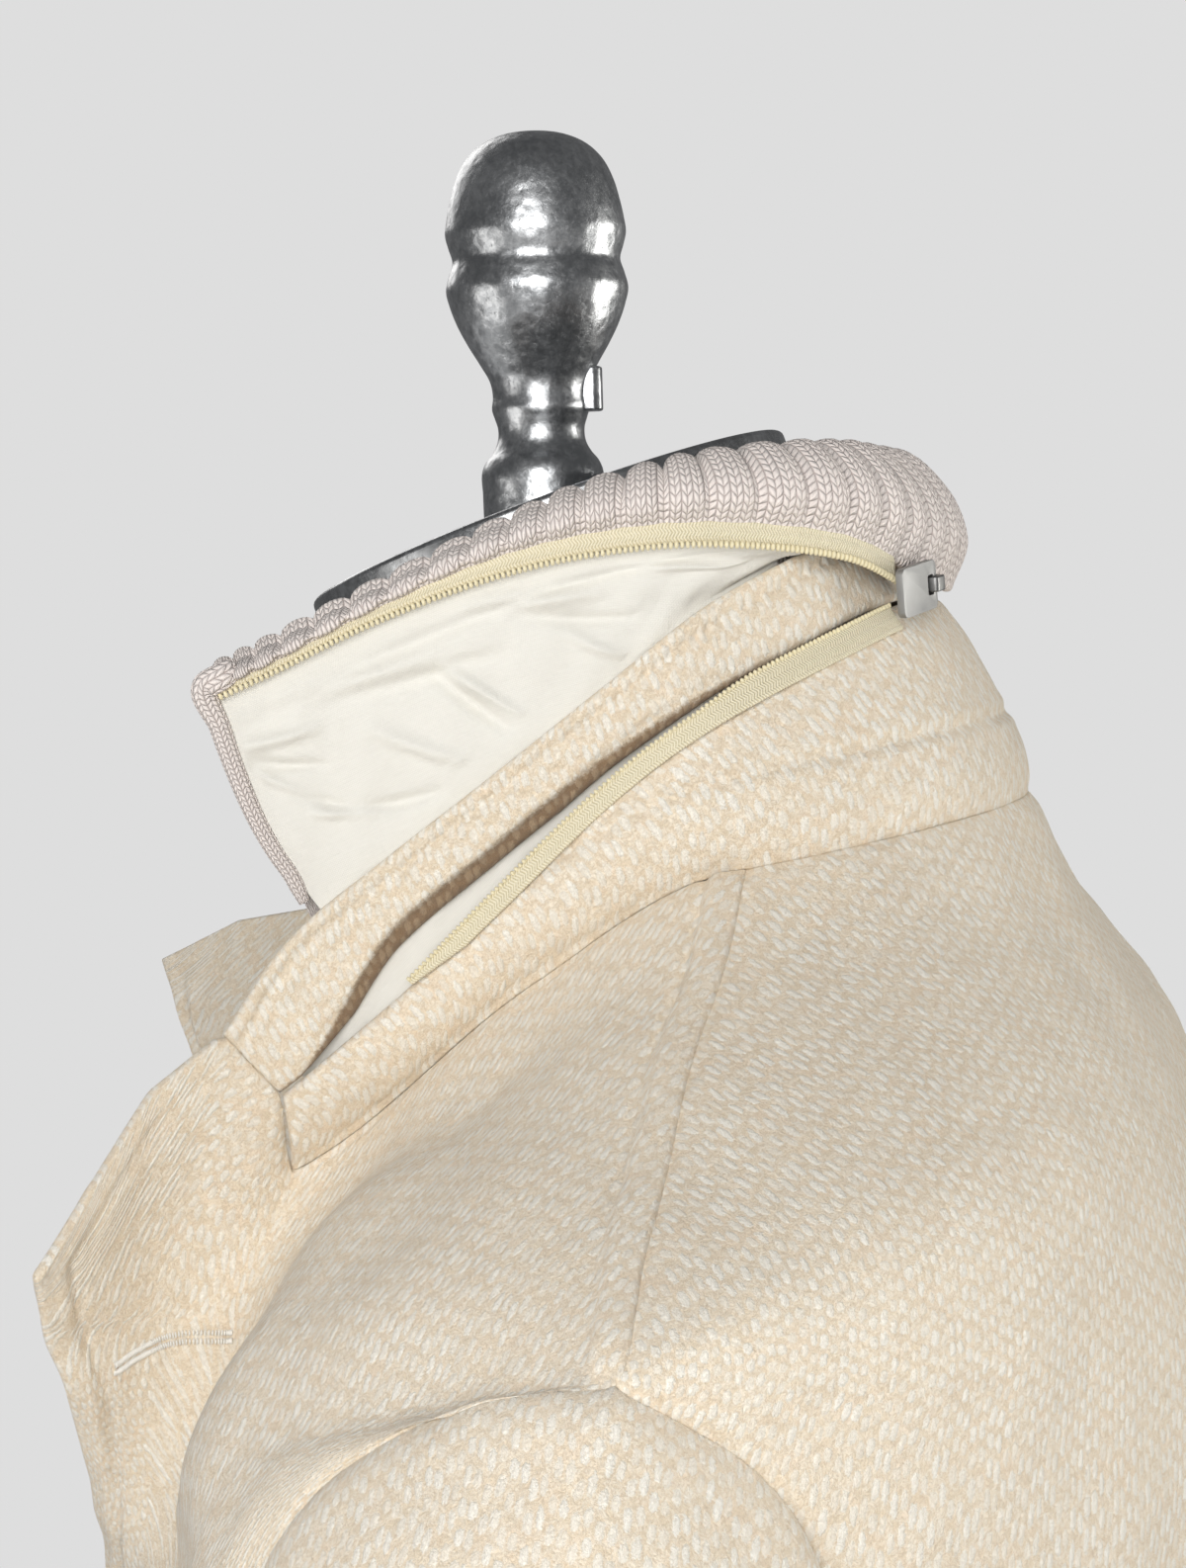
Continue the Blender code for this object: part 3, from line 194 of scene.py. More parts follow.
ARM_TOP_PULL, ARM_TOP_ROUND = 1.15, 1.25         # the sleeve head carries on outwards, then falls
SLEEVE = (
    # name,    cloth,   z, centre x,  y, half x, half y, outer side higher by
    ("bicep",    150, -276,     234,   2,     43,     76,  16),
    ("upper",    230, -350,     238,  -2,     42,     73,   8),
    ("elbow",    320, -434,     242,  -8,     40,     69,   0),
    ("fore",     420, -532,     246, -20,     38,     64,   0),
    ("low",      520, -630,     249, -34,     36,     60,   0),
    ("cuff",     595, -704,     251, -44,     35,     57,   0),
)

# Dress form: rows of the torso, a little inside the coat and touching it nearly at the shoulders.
FORM_ROWS = (
    # name,   side x,   y,    z, back y,   z,  chest x,   y,    z, front y,   z, full
    ("neck_mid", 58, -26,   38,     19,   52,     42,  -64,  20,    -86,   8, 1.62),
    ("neck",     66,   0,    4,     46,   12,     60,  -46, -24,    -76, -46, 1.64),
    ("yoke_1",  100,  12,  -22,     73,  -12,     88,  -42, -52,    -80, -72, 1.68),
    ("yoke_2",  129,   9,  -38,     84,  -30,    110,  -52, -68,    -86, -92, 1.74),
    ("yoke_3",  162,   8,  -53,     93,  -49,    128,  -60, -86,    -94, -114, 1.76),
    ("yoke_4",  194,   8,  -69,    100,  -68,    142,  -66, -100,  -100, -136, 1.76),
    ("tip",     211,   8,  -90,    104,  -92,    149,  -69, -117,  -103, -158, 1.76),
    ("arm_1",   203,   8, -116,    110, -120,    153,  -74, -138,  -107, -180, 1.78),
    ("arm_2",   188,   7, -152,    112, -156,    148,  -78, -166,  -110, -204, 1.78),
    ("arm_4",   174,   6, -224,    113, -226,    140,  -84, -232,  -113, -254, 1.80),
    ("chest",   166,   4, -300,    108, -302,    134,  -82, -306,  -112, -314, 1.80),
    ("waist",   152,   4, -420,     94, -422,    122,  -74, -422,  -100, -422, 1.80),
    ("hip",     166,   4, -566,    106, -566,    134,  -80, -566,  -108, -566, 1.80),
    ("bottom",  162,   4, -655,    102, -655,    130,  -78, -655,  -105, -655, 1.80),
)
PLATE_AT, PLATE_TILT = (0, -45, 81), math.radians(18.7)   # middle of its top face
PLATE_RADIUS, PLATE_THICK, PLATE_EDGE = 62.0, 11.0, 1.4   # the last is the rim's rounding
POLE_RADIUS, POLE_FOOT = 16.0, 28.0
BASE_RADIUS, BASE_THICK = 170.0, 14.0
FINIAL_SHIFT = -0.8           # the finial stands this far forward of the plate's middle
LUG_IN, LUG_OUT = 8.0, 15.6                      # key on the back of the finial's neck
LUG_LOW, LUG_HIGH = 26.0, 37.0
FINIAL = (
    # height above the plate, radius
    (-6, 14.8), (6, 15.0), (12.2, 14.9), (14.2, 14.0), (16.2, 12.4), (18.6, 11.1), (22.6, 10.8),
    (24.6, 11.4), (27, 12.1), (30, 11.8), (33.6, 12.3), (38, 14.6), (42.7, 17.4), (48, 20.1),
    (52.7, 21.8), (56.4, 22.6), (60, 21.8), (63.6, 20.8), (67, 21.7), (70, 22.4), (73.6, 22.0),
    (78, 21.1), (83, 19.7), (88, 17.2), (91.6, 13.6), (94, 8.6), (95, 0.0),
)
BUTTON = (
    # height above the cloth, radius
    (0, 3.0), (1.6, 3.0), (1.7, 12.0), (1.9, 12.9), (2.6, 13.9), (3.5, 14.2), (4.4, 14.0),
    (5.1, 13.4), (5.4, 12.6), (5.35, 11.9), (5.0, 10.8), (4.7, 9.9), (4.5, 8.6), (4.4, 6.0),
)
BUTTONS = tuple((across, down) for across in (0.6, 0.94) for down in (392, 475, 565))
POCKET_ACROSS, POCKET_DOWN = (0.39, 0.51), (470, 620)      # across the front, down the cloth
WELT_THICK = 2.4

# Zip: slider and pull tab, along, across and off the cloth
SLIDER_AT = 0.125                                # station of the slider along the collar
SLIDER_LONG, SLIDER_WIDE, SLIDER_THICK = 11.0, 7.4, 3.0
SLIDER_OFF, SLIDER_UP = 2.4, 3.6                 # from the slit: off the cloth, and upwards
TAB_LONG, TAB_WIDE, BAR = 19.0, 11.4, 1.8        # pull tab, as thick as its end bar
HINGE_BACK, HINGE_RISE = 2.4, 4.9                # end bar's middle, from the slider's middle
ARCH = ((-2.6, 2.4), (-2.6, 6.9), (-2.0, 7.5), (2.0, 7.5), (2.6, 6.9), (2.6, 2.4), (1.6, 2.4),
        (1.6, 6.3), (-1.6, 6.3), (-1.6, 2.4))    # bridge over the end bar: along the zip, off it
ARCH_WIDE = 3.6
WINDOW_END, WINDOW_HALF = 4.3, 2.3               # the tab's window: far end, and half its width
TAPE_THICK, TAPE_WIDE = 1.5, 5.2
TAPE_FROM, COVER_TAPE_END = 0.165, 0.985         # stations of the cover's tape
TAPE_NEAR, TAPE_END = 0.155, 0.745               # the collar's tape runs on to the slider
COIL_PITCH = 1.25


# ------------------------------------------------------------------------------------- geometry
def spline(knots, values, at, start=None, end=None):
    """Smooth curve through values at knots, read at the places given."""
    knots, values, at = np.asarray(knots, float), np.asarray(values, float), np.atleast_1d(at)
    slopes = np.gradient(values, knots, axis=0)
    if start is not None:
        slopes[0] = start
    if end is not None:
        slopes[-1] = end
    cell = np.clip(np.searchsorted(knots, at, side="right") - 1, 0, len(knots) - 2)
    width = knots[cell + 1] - knots[cell]
    extra = (1,) * (values.ndim - 1)
    t = ((at - knots[cell]) / width).reshape(-1, *extra)
    width = width.reshape(-1, *extra)
    return ((2 * t**3 - 3 * t**2 + 1) * values[cell] + (t**3 - 2 * t**2 + t) * width * slopes[cell]
            + (3 * t**2 - 2 * t**3) * values[cell + 1] + (t**3 - t**2) * width * slopes[cell + 1])


def unit(v):
    return v / np.maximum(np.linalg.norm(v, axis=-1, keepdims=True), 1e-9)


def heading(lean):
    """Direction in which a row passes the side, going forwards and slightly down."""
    a = math.radians(lean)
    return np.array([math.sin(a), -math.cos(a), -0.16])


def back_row(row, at):
    """Half of a back row: at runs from 0 at the centre back to 1 at the side."""
    _, _, x, y, z, back_y, back_z, lean, full = row
    ends = np.array([[0, back_y, back_z], [x, y, z]], float)
    return spline([0, 1], ends, at, start=np.array([full * x, 0, 0]),
                  end=full * (back_y - y) * heading(lean))


def front_row(row, knots, at):
    """A front row: at runs from 0 at the side to 1 at the front edge."""
    side, chest = np.array(knots[0], float), np.array(knots[1], float)
    start = SIDE_PULL * np.linalg.norm(chest - side) * unit(heading(FRONT_LEAN.get(row[0], 0)))
    if TIP_ROW < BACK_ROWS.index(row) < UNDER_ROW:
        start = ARM_PULL * (chest - side) * np.array([0.6, 1.2, 1.0])
    return spline(FRONT_PLACES, knots, at, start=start)


def levels():
    return [row[1] for row in BACK_ROWS]


def back_grid(across, down):
    """Back panel: across runs from -1 (right side) to 1 (left side), down along the cloth."""
    across = np.asarray(across, float)
    rows = []
    for row in BACK_ROWS:
        half = back_row(row, np.abs(across))
        half[:, 0] *= np.sign(across)
        rows.append(half)
    return spline(levels(), np.array(rows), down)


def front_grid(rows, across, down):
    """Front panel on the wearer's left: across from the side (0) to the front edge (1)."""
    table = np.array([front_row(row, knots, across) for row, knots in zip(BACK_ROWS, rows)])
    table[0] = top_edge(rows, across)
    return spline(levels(), table, down)


def top_edge(rows, across):
    """Neck seam, then the gorge seam up to the notch, then the lapel's free edge to its tip."""
    across = np.asarray(across, float)
    neck = front_row(BACK_ROWS[0], rows[0], across)
    knots = np.array(LEFT_TOP if rows is LEFT_ROWS else RIGHT_TOP, float)
    for axis in range(3):
        lapel = np.interp(across, TOP_PLACES, knots[:, axis])
        neck[:, axis] = np.where(across > TOP_PLACES[0], lapel, neck[:, axis])
    return neck


def armhole(side, steps):
    """The armhole seam on the wearer's left as a loop: tip, down the front, underarm, up the back."""
    down = down_steps(TIP_ROW, UNDER_ROW, steps)
    front = front_grid(side, np.array([0.0]), down)[:, 0]
    back = back_grid(np.array([1.0]), down)[:, 0]
    return np.concatenate([front, back[-2:0:-1]])


def down_steps(first, last, each):
    """Places along the cloth from one row to another, with so many steps between rows."""
    marks = levels()
    places = [marks[k] + (marks[k + 1] - marks[k]) * i / each
              for k in range(first, last) for i in range(each)]
    return np.array(places + [marks[last]])


def sleeve_grid(side, steps, down):
    """Sleeve on the wearer's left: rows from the armhole seam to the cuff, wrapped round."""
    loop = armhole(side, steps)
    count = len(loop)
    turn = np.linspace(0, 2 * math.pi, count, endpoint=False)
    rings = [np.stack([cx + hx * np.cos(turn), cy - hy * np.sin(turn), z + rise * np.cos(turn)], -1)
             for _, _, z, cx, cy, hx, hy, rise in SLEEVE]
    outward = (0.5 + 0.5 * np.cos(turn))[:, None]
    lead = unit(outward * np.array([1.0, 0, -0.62]) + (1 - outward) * np.array([0.6, 0, -0.8])
                + np.stack([0 * turn, -0.2 * np.sin(turn), 0 * turn], -1))
    reach = np.linalg.norm(rings[0] - loop, axis=-1, keepdims=True)
    marks = [0] + [row[1] for row in SLEEVE]
    return spline(marks, np.array([loop] + rings), down,
                  start=lead * reach * ARM_TOP_PULL / marks[1] * ARM_TOP_ROUND)


def table_curve(table, first, count=3):
    """Columns first.. of a table, as a smooth curve over its stations (0 to 1)."""
    values = np.array([row[first:first + count] for row in table], float)
    return np.linspace(0, 1, len(table)), values


def along(table, first, at, count=3):
    stations, values = table_curve(table, first, count)
    values = np.concatenate([values[:0:-1] * ([-1] + [1] * (count - 1)), values])
    return spline(np.concatenate([-stations[:0:-1], stations]), values, at)


def plan_normal(line):
    """Outward direction, level with the floor, beside a line that runs from right to left."""
    run = np.gradient(line, axis=0)
    return unit(np.stack([-run[:, 1], run[:, 0], 0 * run[:, 2]], -1))


def under_collar(at, up):
    """Under-collar: at runs from the right front end (-1) to the left (1), up from seam to slit."""
    seam, slit = neck_line(at), along(COLLAR, 4, at)
    out = plan_normal(seam)
    swell = SWELL * (1 - 0.75 * np.abs(at)**2)[:, None]
    return np.array([seam + (slit - seam) * v + out * swell * 4 * v * (1 - v) for v in up])


def neck_line(at):
    """The neck seam, on the same points as the top row of the back and the fronts."""
    left = np.abs(at)
    stations = np.linspace(0, 1, len(COLLAR))
    side = stations[3]
    ahead = FRONT_PLACES[2] * np.clip((left - side) / (1 - side), 0, 1)
    back = back_row(BACK_ROWS[0], np.clip(left / side, 0, 1))
    front = front_row(BACK_ROWS[0], LEFT_ROWS[0], ahead)
    line = np.where((left <= side)[:, None], back, front)
    line[:, 0] *= np.where(at < 0, -1, 1)
    return line


def slit_gape(at):
    """The slit stands open on the left only, from the slider forwards."""
    _, values = table_curve(COLLAR, 7, 1)
    shut = values.min()
    return np.where(at > 0, spline(np.linspace(0, 1, len(COLLAR)), values[:, 0], np.abs(at)), shut)


def cover_tables(at):
    """Columns of the cover's tables along the collar: the open one on the left, else the shut one."""
    stations = np.linspace(0, 1, len(COLLAR))
    opened = np.array([row[1:] for row in COVER_OPEN], float)
    closed = np.array([row[1:] for row in COVER_SHUT], float)
    closed[:, [0, 6]] *= -1
    places = np.concatenate([-stations[:0:-1], stations])
    columns = spline(places, np.concatenate([closed[:0:-1], opened]), at)
    return columns[:, 0:3], columns[:, 3], columns[:, 4], columns[:, 5], columns[:, 6:9]


def cover_fold(at, steps):
    """Outer side of the knit cover: up from the zip tape, over the fold and down on the neck side."""
    teeth, tape_rise, crest, wide, foot = cover_tables(at)
    out = plan_normal(teeth)
    up = np.array([0, 0, 1.0])
    start = teeth + up * tape_rise[:, None]
    rise = (crest - RIB_RISE - start[:, 2])[:, None]
    wide = wide[:, None]
    lift = 0.10 + 0.08 * np.clip(np.abs(at) * 3, 0, 1)[:, None]
    knots = [start, start + out * wide * lift + up * rise * 0.40,
             start + out * wide * (lift - 0.16) + up * rise * 0.74,
             start - out * wide * 0.42 + up * rise,
             start - out * wide * 0.88 + up * rise * 0.68,
             start * 0.5 + foot * 0.5 - out * wide * 0.46 + up * rise * 0.1, foot]
    return spline([0, 0.2, 0.36, 0.52, 0.7, 0.86, 1.0], np.array(knots), steps)


def knit_depth(at):
    """The knit is thinner where the cover's fold is flat, towards its open front end."""
    teeth, tape_rise, crest, _, _ = cover_tables(at)
    rise = crest - RIB_RISE - teeth[:, 2] - tape_rise
    return KNIT * np.clip(rise / FULL_RISE, 0.36, 1.0)


def form_ring(row, steps):
    """A ring round the form: back half from right to left, then the front half back to the right."""
    _, x, y, z, back_y, back_z, cx, cy, cz, front_y, front_z, full = row
    across = np.linspace(-1, 1, 2 * steps + 1)
    back = back_row((None, 0, x, y, z, back_y, back_z, 0, full), np.abs(across))
    back[:, 0] *= np.sign(across)
    across = across[-2:0:-1]
    knots = np.array([[x, y, z], [cx, cy, cz], [0, front_y, front_z]], float)
    start = full * (y - front_y) * np.array([0, -1, 0.5 * (cz - z) / max(y - cy, 1)])
    front = spline([0, 0.5, 1], knots, 1 - np.abs(across), start=start,
                   end=np.array([-full * x, 0, 0]))
    front[:, 0] *= np.sign(across)
    return np.concatenate([back, front])


def plate_ring(radius, below, steps):
    """A ring under the neck plate, in the plate's plane, starting at the right like form_ring."""
    turn = np.linspace(-math.pi / 2, 1.5 * math.pi, 4 * steps, endpoint=False)
    tilt_cos, tilt_sin = math.cos(PLATE_TILT), math.sin(PLATE_TILT)
    x, v = radius * np.sin(turn), radius * np.cos(turn)
    return np.stack([x, PLATE_AT[1] + v * tilt_cos + below * tilt_sin,
                     PLATE_AT[2] + v * tilt_sin - below * tilt_cos], -1)


# ---------------------------------------------------------------------------------- fine sampling
ARM_EACH = 10                                    # steps between rows down the armhole
LAST_ROW = len(BACK_ROWS) - 1
HEM, CUFF = BACK_ROWS[-1][1], SLEEVE[-1][1]
HALF_PANEL = 270.0                               # about how wide a front and half the back are
CUFF_SEAM = 32.0                                 # stitched this far above the cuff's edge
NEAR = np.array([0.8, 1.7, 2.7, 4.0, 5.5, 7.3, 9.5])   # millimetres from a seam, sampled closely
DOWN = np.unique(np.concatenate([
    NEAR, down_steps(0, TIP_ROW, 6), down_steps(TIP_ROW, UNDER_ROW, ARM_EACH),
    down_steps(UNDER_ROW, LAST_ROW, 16), HEM - NEAR]))
SIDE_NEAR = NEAR / HALF_PANEL
BACK_HALF = np.concatenate([np.linspace(0, 1 - 12 / HALF_PANEL, 64), 1 - SIDE_NEAR[::-1], [1.0]])
BACK_ACROSS = np.concatenate([-BACK_HALF[:0:-1], BACK_HALF])
FRONT_ACROSS = np.concatenate([
    [0.0], SIDE_NEAR, np.linspace(0.044, 0.13, 22), np.linspace(0.145, TOP_PLACES[0], 42),
    np.linspace(0.71, 0.88, 17), np.linspace(0.884, 1, 30)])
NECK_COLUMNS = FRONT_ACROSS[FRONT_ACROSS < TOP_PLACES[0] + 0.0001]
SLEEVE_DOWN = np.unique(np.concatenate([
    [0.0], NEAR, np.arange(12, CUFF - 9, 4.2), CUFF - CUFF_SEAM + np.arange(-5.0, 6.0),
    CUFF - NEAR, [CUFF]]))

# Soft folds of the cloth, in millimetres from the neck point: a trough or ridge along a line from
# one point to another, how far it reaches to each side, and how much it rises.
FOLDS = (
    # name,                x,    y,    z,      x,    y,    z, reach, rise
    ("back_ridge",       120,  108,  -96,    128,  132, -330,    15,  3.2),
    ("back_trough",       96,  120, -110,    100,  138, -330,    15, -2.8),
    ("back_ridge_2",     -96,  118, -130,   -118,  134, -350,    16,  3.0),
    ("back_trough_2",    -70,  128, -150,    -84,  138, -360,    15, -2.4),
    ("blade_left",       165,   84, -120,    190,   62, -215,    14, -2.6),
    ("blade_right",     -165,   84, -125,   -190,   62, -205,    14, -2.4),
    ("shoulder_hollow",  112,  -36,  -52,    168,  -52,  -90,    18, -2.4),
    ("hollow_right",    -112,  -36,  -52,   -168,  -52,  -90,    18, -2.0),
    ("chest_left",       172,  -82, -150,    120, -126, -230,    16,  2.6),
    ("chest_right",     -172,  -82, -150,   -112, -124, -236,    16,  2.4),
    ("under_arm_left",   190,   10, -250,    160,   92, -318,    16, -3.0),
    ("under_arm_right", -190,   10, -250,   -156,   94, -325,    16, -3.0),
    ("waist_back",        30,  120, -400,    132,   98, -432,    18, -2.6),
    ("waist_back_2",     -36,  120, -404,   -136,   96, -440,    18, -2.8),
    ("skirt_1",           96,  126, -520,    118,  132, -742,    20,  3.4),
    ("skirt_2",           24,  130, -500,     16,  140, -742,    22, -3.0),
    ("skirt_3",          -88,  127, -500,   -112,  133, -742,    21,  3.4),
    ("skirt_4",         -160,   80, -540,   -176,   84, -742,    20, -2.8),
    ("skirt_5",          168,   70, -540,    182,   72, -742,    20, -2.8),
    ("skirt_6",          150, -106, -540,    160, -114, -742,    20,  2.8),
    ("skirt_7",         -146, -106, -540,   -158, -112, -742,    20,  2.8),
    ("skirt_8",          -20, -142, -480,    -22, -150, -742,    24, -2.2),
    ("cap_front_left",   228,  -82,  -92,    238,  -74, -180,    12,  2.2),
    ("cap_back_left",    226,   52, -100,    250,   60, -210,    13,  2.2),
    ("cap_front_right", -228,  -80,  -94,   -240,  -72, -175,    12,  2.0),
    ("cap_back_right",  -226,   52, -104,   -250,   60, -215,    13,  2.2),
    ("elbow_left_1",     276,  -50, -392,    262,   44, -420,    13, -4.2),
    ("elbow_left_2",     280,  -44, -430,    258,   46, -466,    12,  3.4),
    ("elbow_left_3",     282,  -52, -470,    262,   36, -500,    13, -3.6),
    ("elbow_right_1",   -276,  -52, -386,   -262,   44, -424,    13, -4.0),
    ("elbow_right_2",   -280,  -46, -428,   -258,   46, -460,    12,  3.2),
    ("elbow_right_3",   -282,  -50, -476,   -262,   38, -512,    13, -3.6),
    ("arm_left_1",       270,  -60, -250,    276,   40, -300,    16,  3.0),
    ("arm_right_1",     -270,  -60, -256,   -276,   40, -310,    16,  3.0),
    ("fore_left",        270,  -84, -560,    276,   10, -600,    15, -3.2),
    ("fore_right",      -270,  -84, -572,   -276,   10, -606,    15, -3.2),
)


def folds(points):
    """Rise of the soft folds at each point, with a slow unevenness between them."""
    rise = np.zeros(points.shape[:-1])
    for _, *ends, reach, height in FOLDS:
        start, way = np.array(ends[:3], float), np.array(ends[3:], float) - np.array(ends[:3], float)
        reached = np.clip((points - start) @ way / (way @ way), 0, 1)
        away = np.linalg.norm(points - start - reached[..., None] * way, axis=-1)
        fade = 0.35 + 0.65 * np.sin(math.pi * np.clip(reached * 0.86 + 0.07, 0, 1))
        rise += height * fade * np.exp(-(away / reach) ** 2)
    for k, (size, height) in enumerate(((95, 0.9), (58, 0.5), (31, 0.28))):
        turn = np.array([math.sin(2.1 * k + 0.4), math.cos(1.3 * k + 0.9), math.sin(0.7 * k + 1.7)])
        swing = points @ np.stack([turn, np.roll(turn, 1) * [1, -1, 1]], axis=-1) * 2 * math.pi / size
        rise += height * np.sin(swing[..., 0] + 1.3 * k) * np.cos(swing[..., 1] + 0.6 * k)
    return rise


def lengths(grid):
    """Distance along the cloth from the first column and from the first row, at each point."""
    across = np.linalg.norm(np.diff(grid, axis=1), axis=-1)
    down = np.linalg.norm(np.diff(grid, axis=0), axis=-1)
    return (np.concatenate([np.zeros((len(grid), 1)), np.cumsum(across, axis=1)], axis=1),
            np.concatenate([np.zeros((1, grid.shape[1])), np.cumsum(down, axis=0)]))


def run_along(line):
    """Distance along a line of points, at each of them."""
    return np.concatenate([[0], np.cumsum(np.linalg.norm(np.diff(line, axis=0), axis=-1))])


def from_column(across, column=None):
    """Distances across the cloth from one column, or else from the middle one."""
    column = across.shape[1] // 2 if column is None else column
    return across - across[:, column:column + 1]


def seam(away, depth=0.9, reach=2.6):
    """Cloth rolls in towards a seam."""
    return -depth * np.exp(-(away / reach) ** 2)


STITCH_PITCH = 3.6                               # from one sewn stitch to the next


def stitched(away, place, run, depth, reach):
    """A row of stitches draws the cloth in, a little more at each stitch."""
    pull = depth * (0.72 + 0.28 * np.cos(2 * math.pi * run / STITCH_PITCH))
    swell = 0.25 * np.exp(-((np.abs(away - place) - 3.0) / 1.6) ** 2)
    return swell - pull * np.exp(-((away - place) / reach) ** 2)


def facing(grid, wrap=False):
    """Normal at each point of a grid, to the right of going across and then down."""
    if wrap:
        ring = np.concatenate([grid[:, -1:], grid, grid[:, :1]], axis=1)
        across = ring[:, 2:] - ring[:, :-2]
    else:
        across = np.gradient(grid, axis=1)
    return unit(np.cross(np.gradient(grid, axis=0), across))


def merge_normals(pieces):
    """One common normal where grids share a point; a group counts once at each point."""
    pool = {}
    rims = []
    for group, grid, normal in pieces:
        mask = np.zeros(grid.shape[:2], bool)
        mask[0] = mask[-1] = mask[:, 0] = mask[:, -1] = True
        rims.append(mask)
        for point, direction in zip(grid[mask], normal[mask]):
            seen = pool.setdefault(tuple(np.round(point, 2)), {})
            seen[group] = seen.get(group, 0) + direction
    merged = []
    for mask, (_, grid, normal) in zip(rims, pieces):
        normal = normal.copy()
        normal[mask] = [unit(sum(unit(total) for total in pool[tuple(np.round(point, 2))].values()))
                        for point in grid[mask]]
        merged.append(normal)
    return merged


def slide(lines, first, last, zone=12.0):
    """Draw the ends of each line of points in, spreading the shift over a zone. Lines run along axis 0."""
    run = lengths(lines[..., :3])[1]
    total = run[-1]
    zone = np.minimum(zone, 0.45 * total)
    goal = run + first * np.maximum(0, 1 - run / zone) - last * np.maximum(0, 1 - (total - run) / zone)
    moved = np.empty_like(lines)
    for k in range(lines.shape[1]):
        for axis in range(lines.shape[2]):
            moved[:, k, axis] = np.interp(goal[:, k], run[:, k], lines[:, k, axis])
    return moved


def draw_in(grid, extra, rows=(0.0, 0.0), columns=(0.0, 0.0)):
    """Draw the edges of a grid in, and what it carries at each point with it."""
    packed = np.concatenate([grid, extra], axis=-1)
    if any(rows):
        packed = slide(packed, *rows)
    if any(columns):
        packed = slide(packed.transpose(1, 0, 2), *columns).transpose(1, 0, 2)
    return packed[..., :3], packed[..., 3:]


TURN_STEPS = 3                                   # faces round half of a turned edge


def turn_ends(count, turn=True):
    """Lines of a grid with extra ones at both ends: which line, how far turned, and to which side."""
    if not turn:
        return np.arange(count), np.zeros(count), np.zeros(count)
    angles = np.arange(1, TURN_STEPS + 1) / TURN_STEPS * math.pi / 2
    at = np.concatenate([np.zeros(TURN_STEPS), np.arange(count), np.full(TURN_STEPS, count - 1)])
    angle = np.concatenate([angles[::-1], np.zeros(count), angles])
    sign = np.concatenate([-np.ones(TURN_STEPS), np.zeros(count), np.ones(TURN_STEPS)])
    return at.astype(int), angle, sign


def turned_edge(grid, normal, places, thick, reach, columns=True):
    """Both sides of a cloth whose edges are rounded over, each with its own reach past the grid."""
    half = thick / 2
    row_at, row_angle, row_sign = turn_ends(grid.shape[0])
    column_at, column_angle, column_sign = turn_ends(grid.shape[1], columns)
    way_down = unit(np.gradient(grid, axis=0))[row_at][:, column_at]
    way_across = unit(np.gradient(grid, axis=1))[row_at][:, column_at]
    middle = (grid - normal * half)[row_at][:, column_at]
    out = normal[row_at][:, column_at]
    row_reach = np.where(row_sign < 0, reach[0], reach[1]) * row_sign
    column_reach = np.where(column_sign < 0, reach[2], reach[3]) * column_sign
    reach_down = (np.sin(row_angle) * row_reach)[:, None, None]
    reach_across = (np.sin(column_angle) * column_reach)[None, :, None]
    middle = middle + way_down * reach_down + way_across * reach_across
    lift = (np.cos(row_angle)[:, None] * np.cos(column_angle)[None, :] * half)[..., None]
    spread = places[row_at][:, column_at].copy()
    spread[..., 0] += (column_angle * column_reach)[None, :]
    spread[..., 1] += (row_angle * row_reach)[:, None]
    return middle + out * lift, middle - out * lift, spread


def world(points):
    """Table millimetres to world metres."""
    return (np.asarray(points, float) + np.array([0, 0, NECK_HEIGHT])) / 1000.0


def add_grid(bm, points, places, flip=False):
    """One side of a cloth: a grid of faces over the points, with its own places as UV."""
    rows, columns = points.shape[:2]
    before = len(bm.verts)
    faces_before = len(bm.faces)
    bmesh.ops.create_grid(bm, x_segments=columns - 1, y_segments=rows - 1, size=0.5)
    bm.verts.ensure_lookup_table()
    bm.faces.ensure_lookup_table()
    flat = world(points).reshape(-1, 3).tolist()
    for vert, point in zip(bm.verts[before:], flat):
        vert.co = point
    bm.verts.index_update()
    layer = bm.loops.layers.uv.verify()
    flat = (places.reshape(-1, 2) / 1000.0).tolist()
    fresh = bm.faces[faces_before:]
    for face in fresh:
        for loop in face.loops:
            loop[layer].uv = flat[loop.vert.index - before]
    if flip:
        bmesh.ops.reverse_faces(bm, faces=fresh)


WELD = 2e-6                                      # metres: points closer than this are one
SEAM_ROUND, SEAM_LAP = 0.8, 0.35                 # how a sewn edge rounds in, and meets the other


def put(name, data):
    """Make an object and add it to the scene."""
    made = bpy.data.objects.new(name, data)
    bpy.context.scene.collection.objects.link(made)
    return made


def finish_piece(bm, name, finish, nodes, body="coat", sharp=None, weld=False):
    """Make the piece's object; it rides on its body and stands for its solids."""
    if weld:
        bmesh.ops.remove_doubles(bm, verts=bm.verts[:], dist=WELD)
        if bm.calc_volume(signed=True) < 0:
            bmesh.ops.reverse_faces(bm, faces=bm.faces[:])
    mesh = bpy.data.meshes.new(name)
    bm.to_mesh(mesh)
    bm.free()
    if mesh.uv_layers:
        mesh.uv_layers[0].name = "cloth"
    mesh.shade_smooth()
    if sharp:
        mesh.set_sharp_from_angle(angle=math.radians(sharp))
    mesh.materials.append(finish)
    piece = put(name, mesh)
    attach(piece, body)
    if nodes:
        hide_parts(*nodes)
    return piece


def declare(piece):
    """Return the piece as it is."""
    return piece


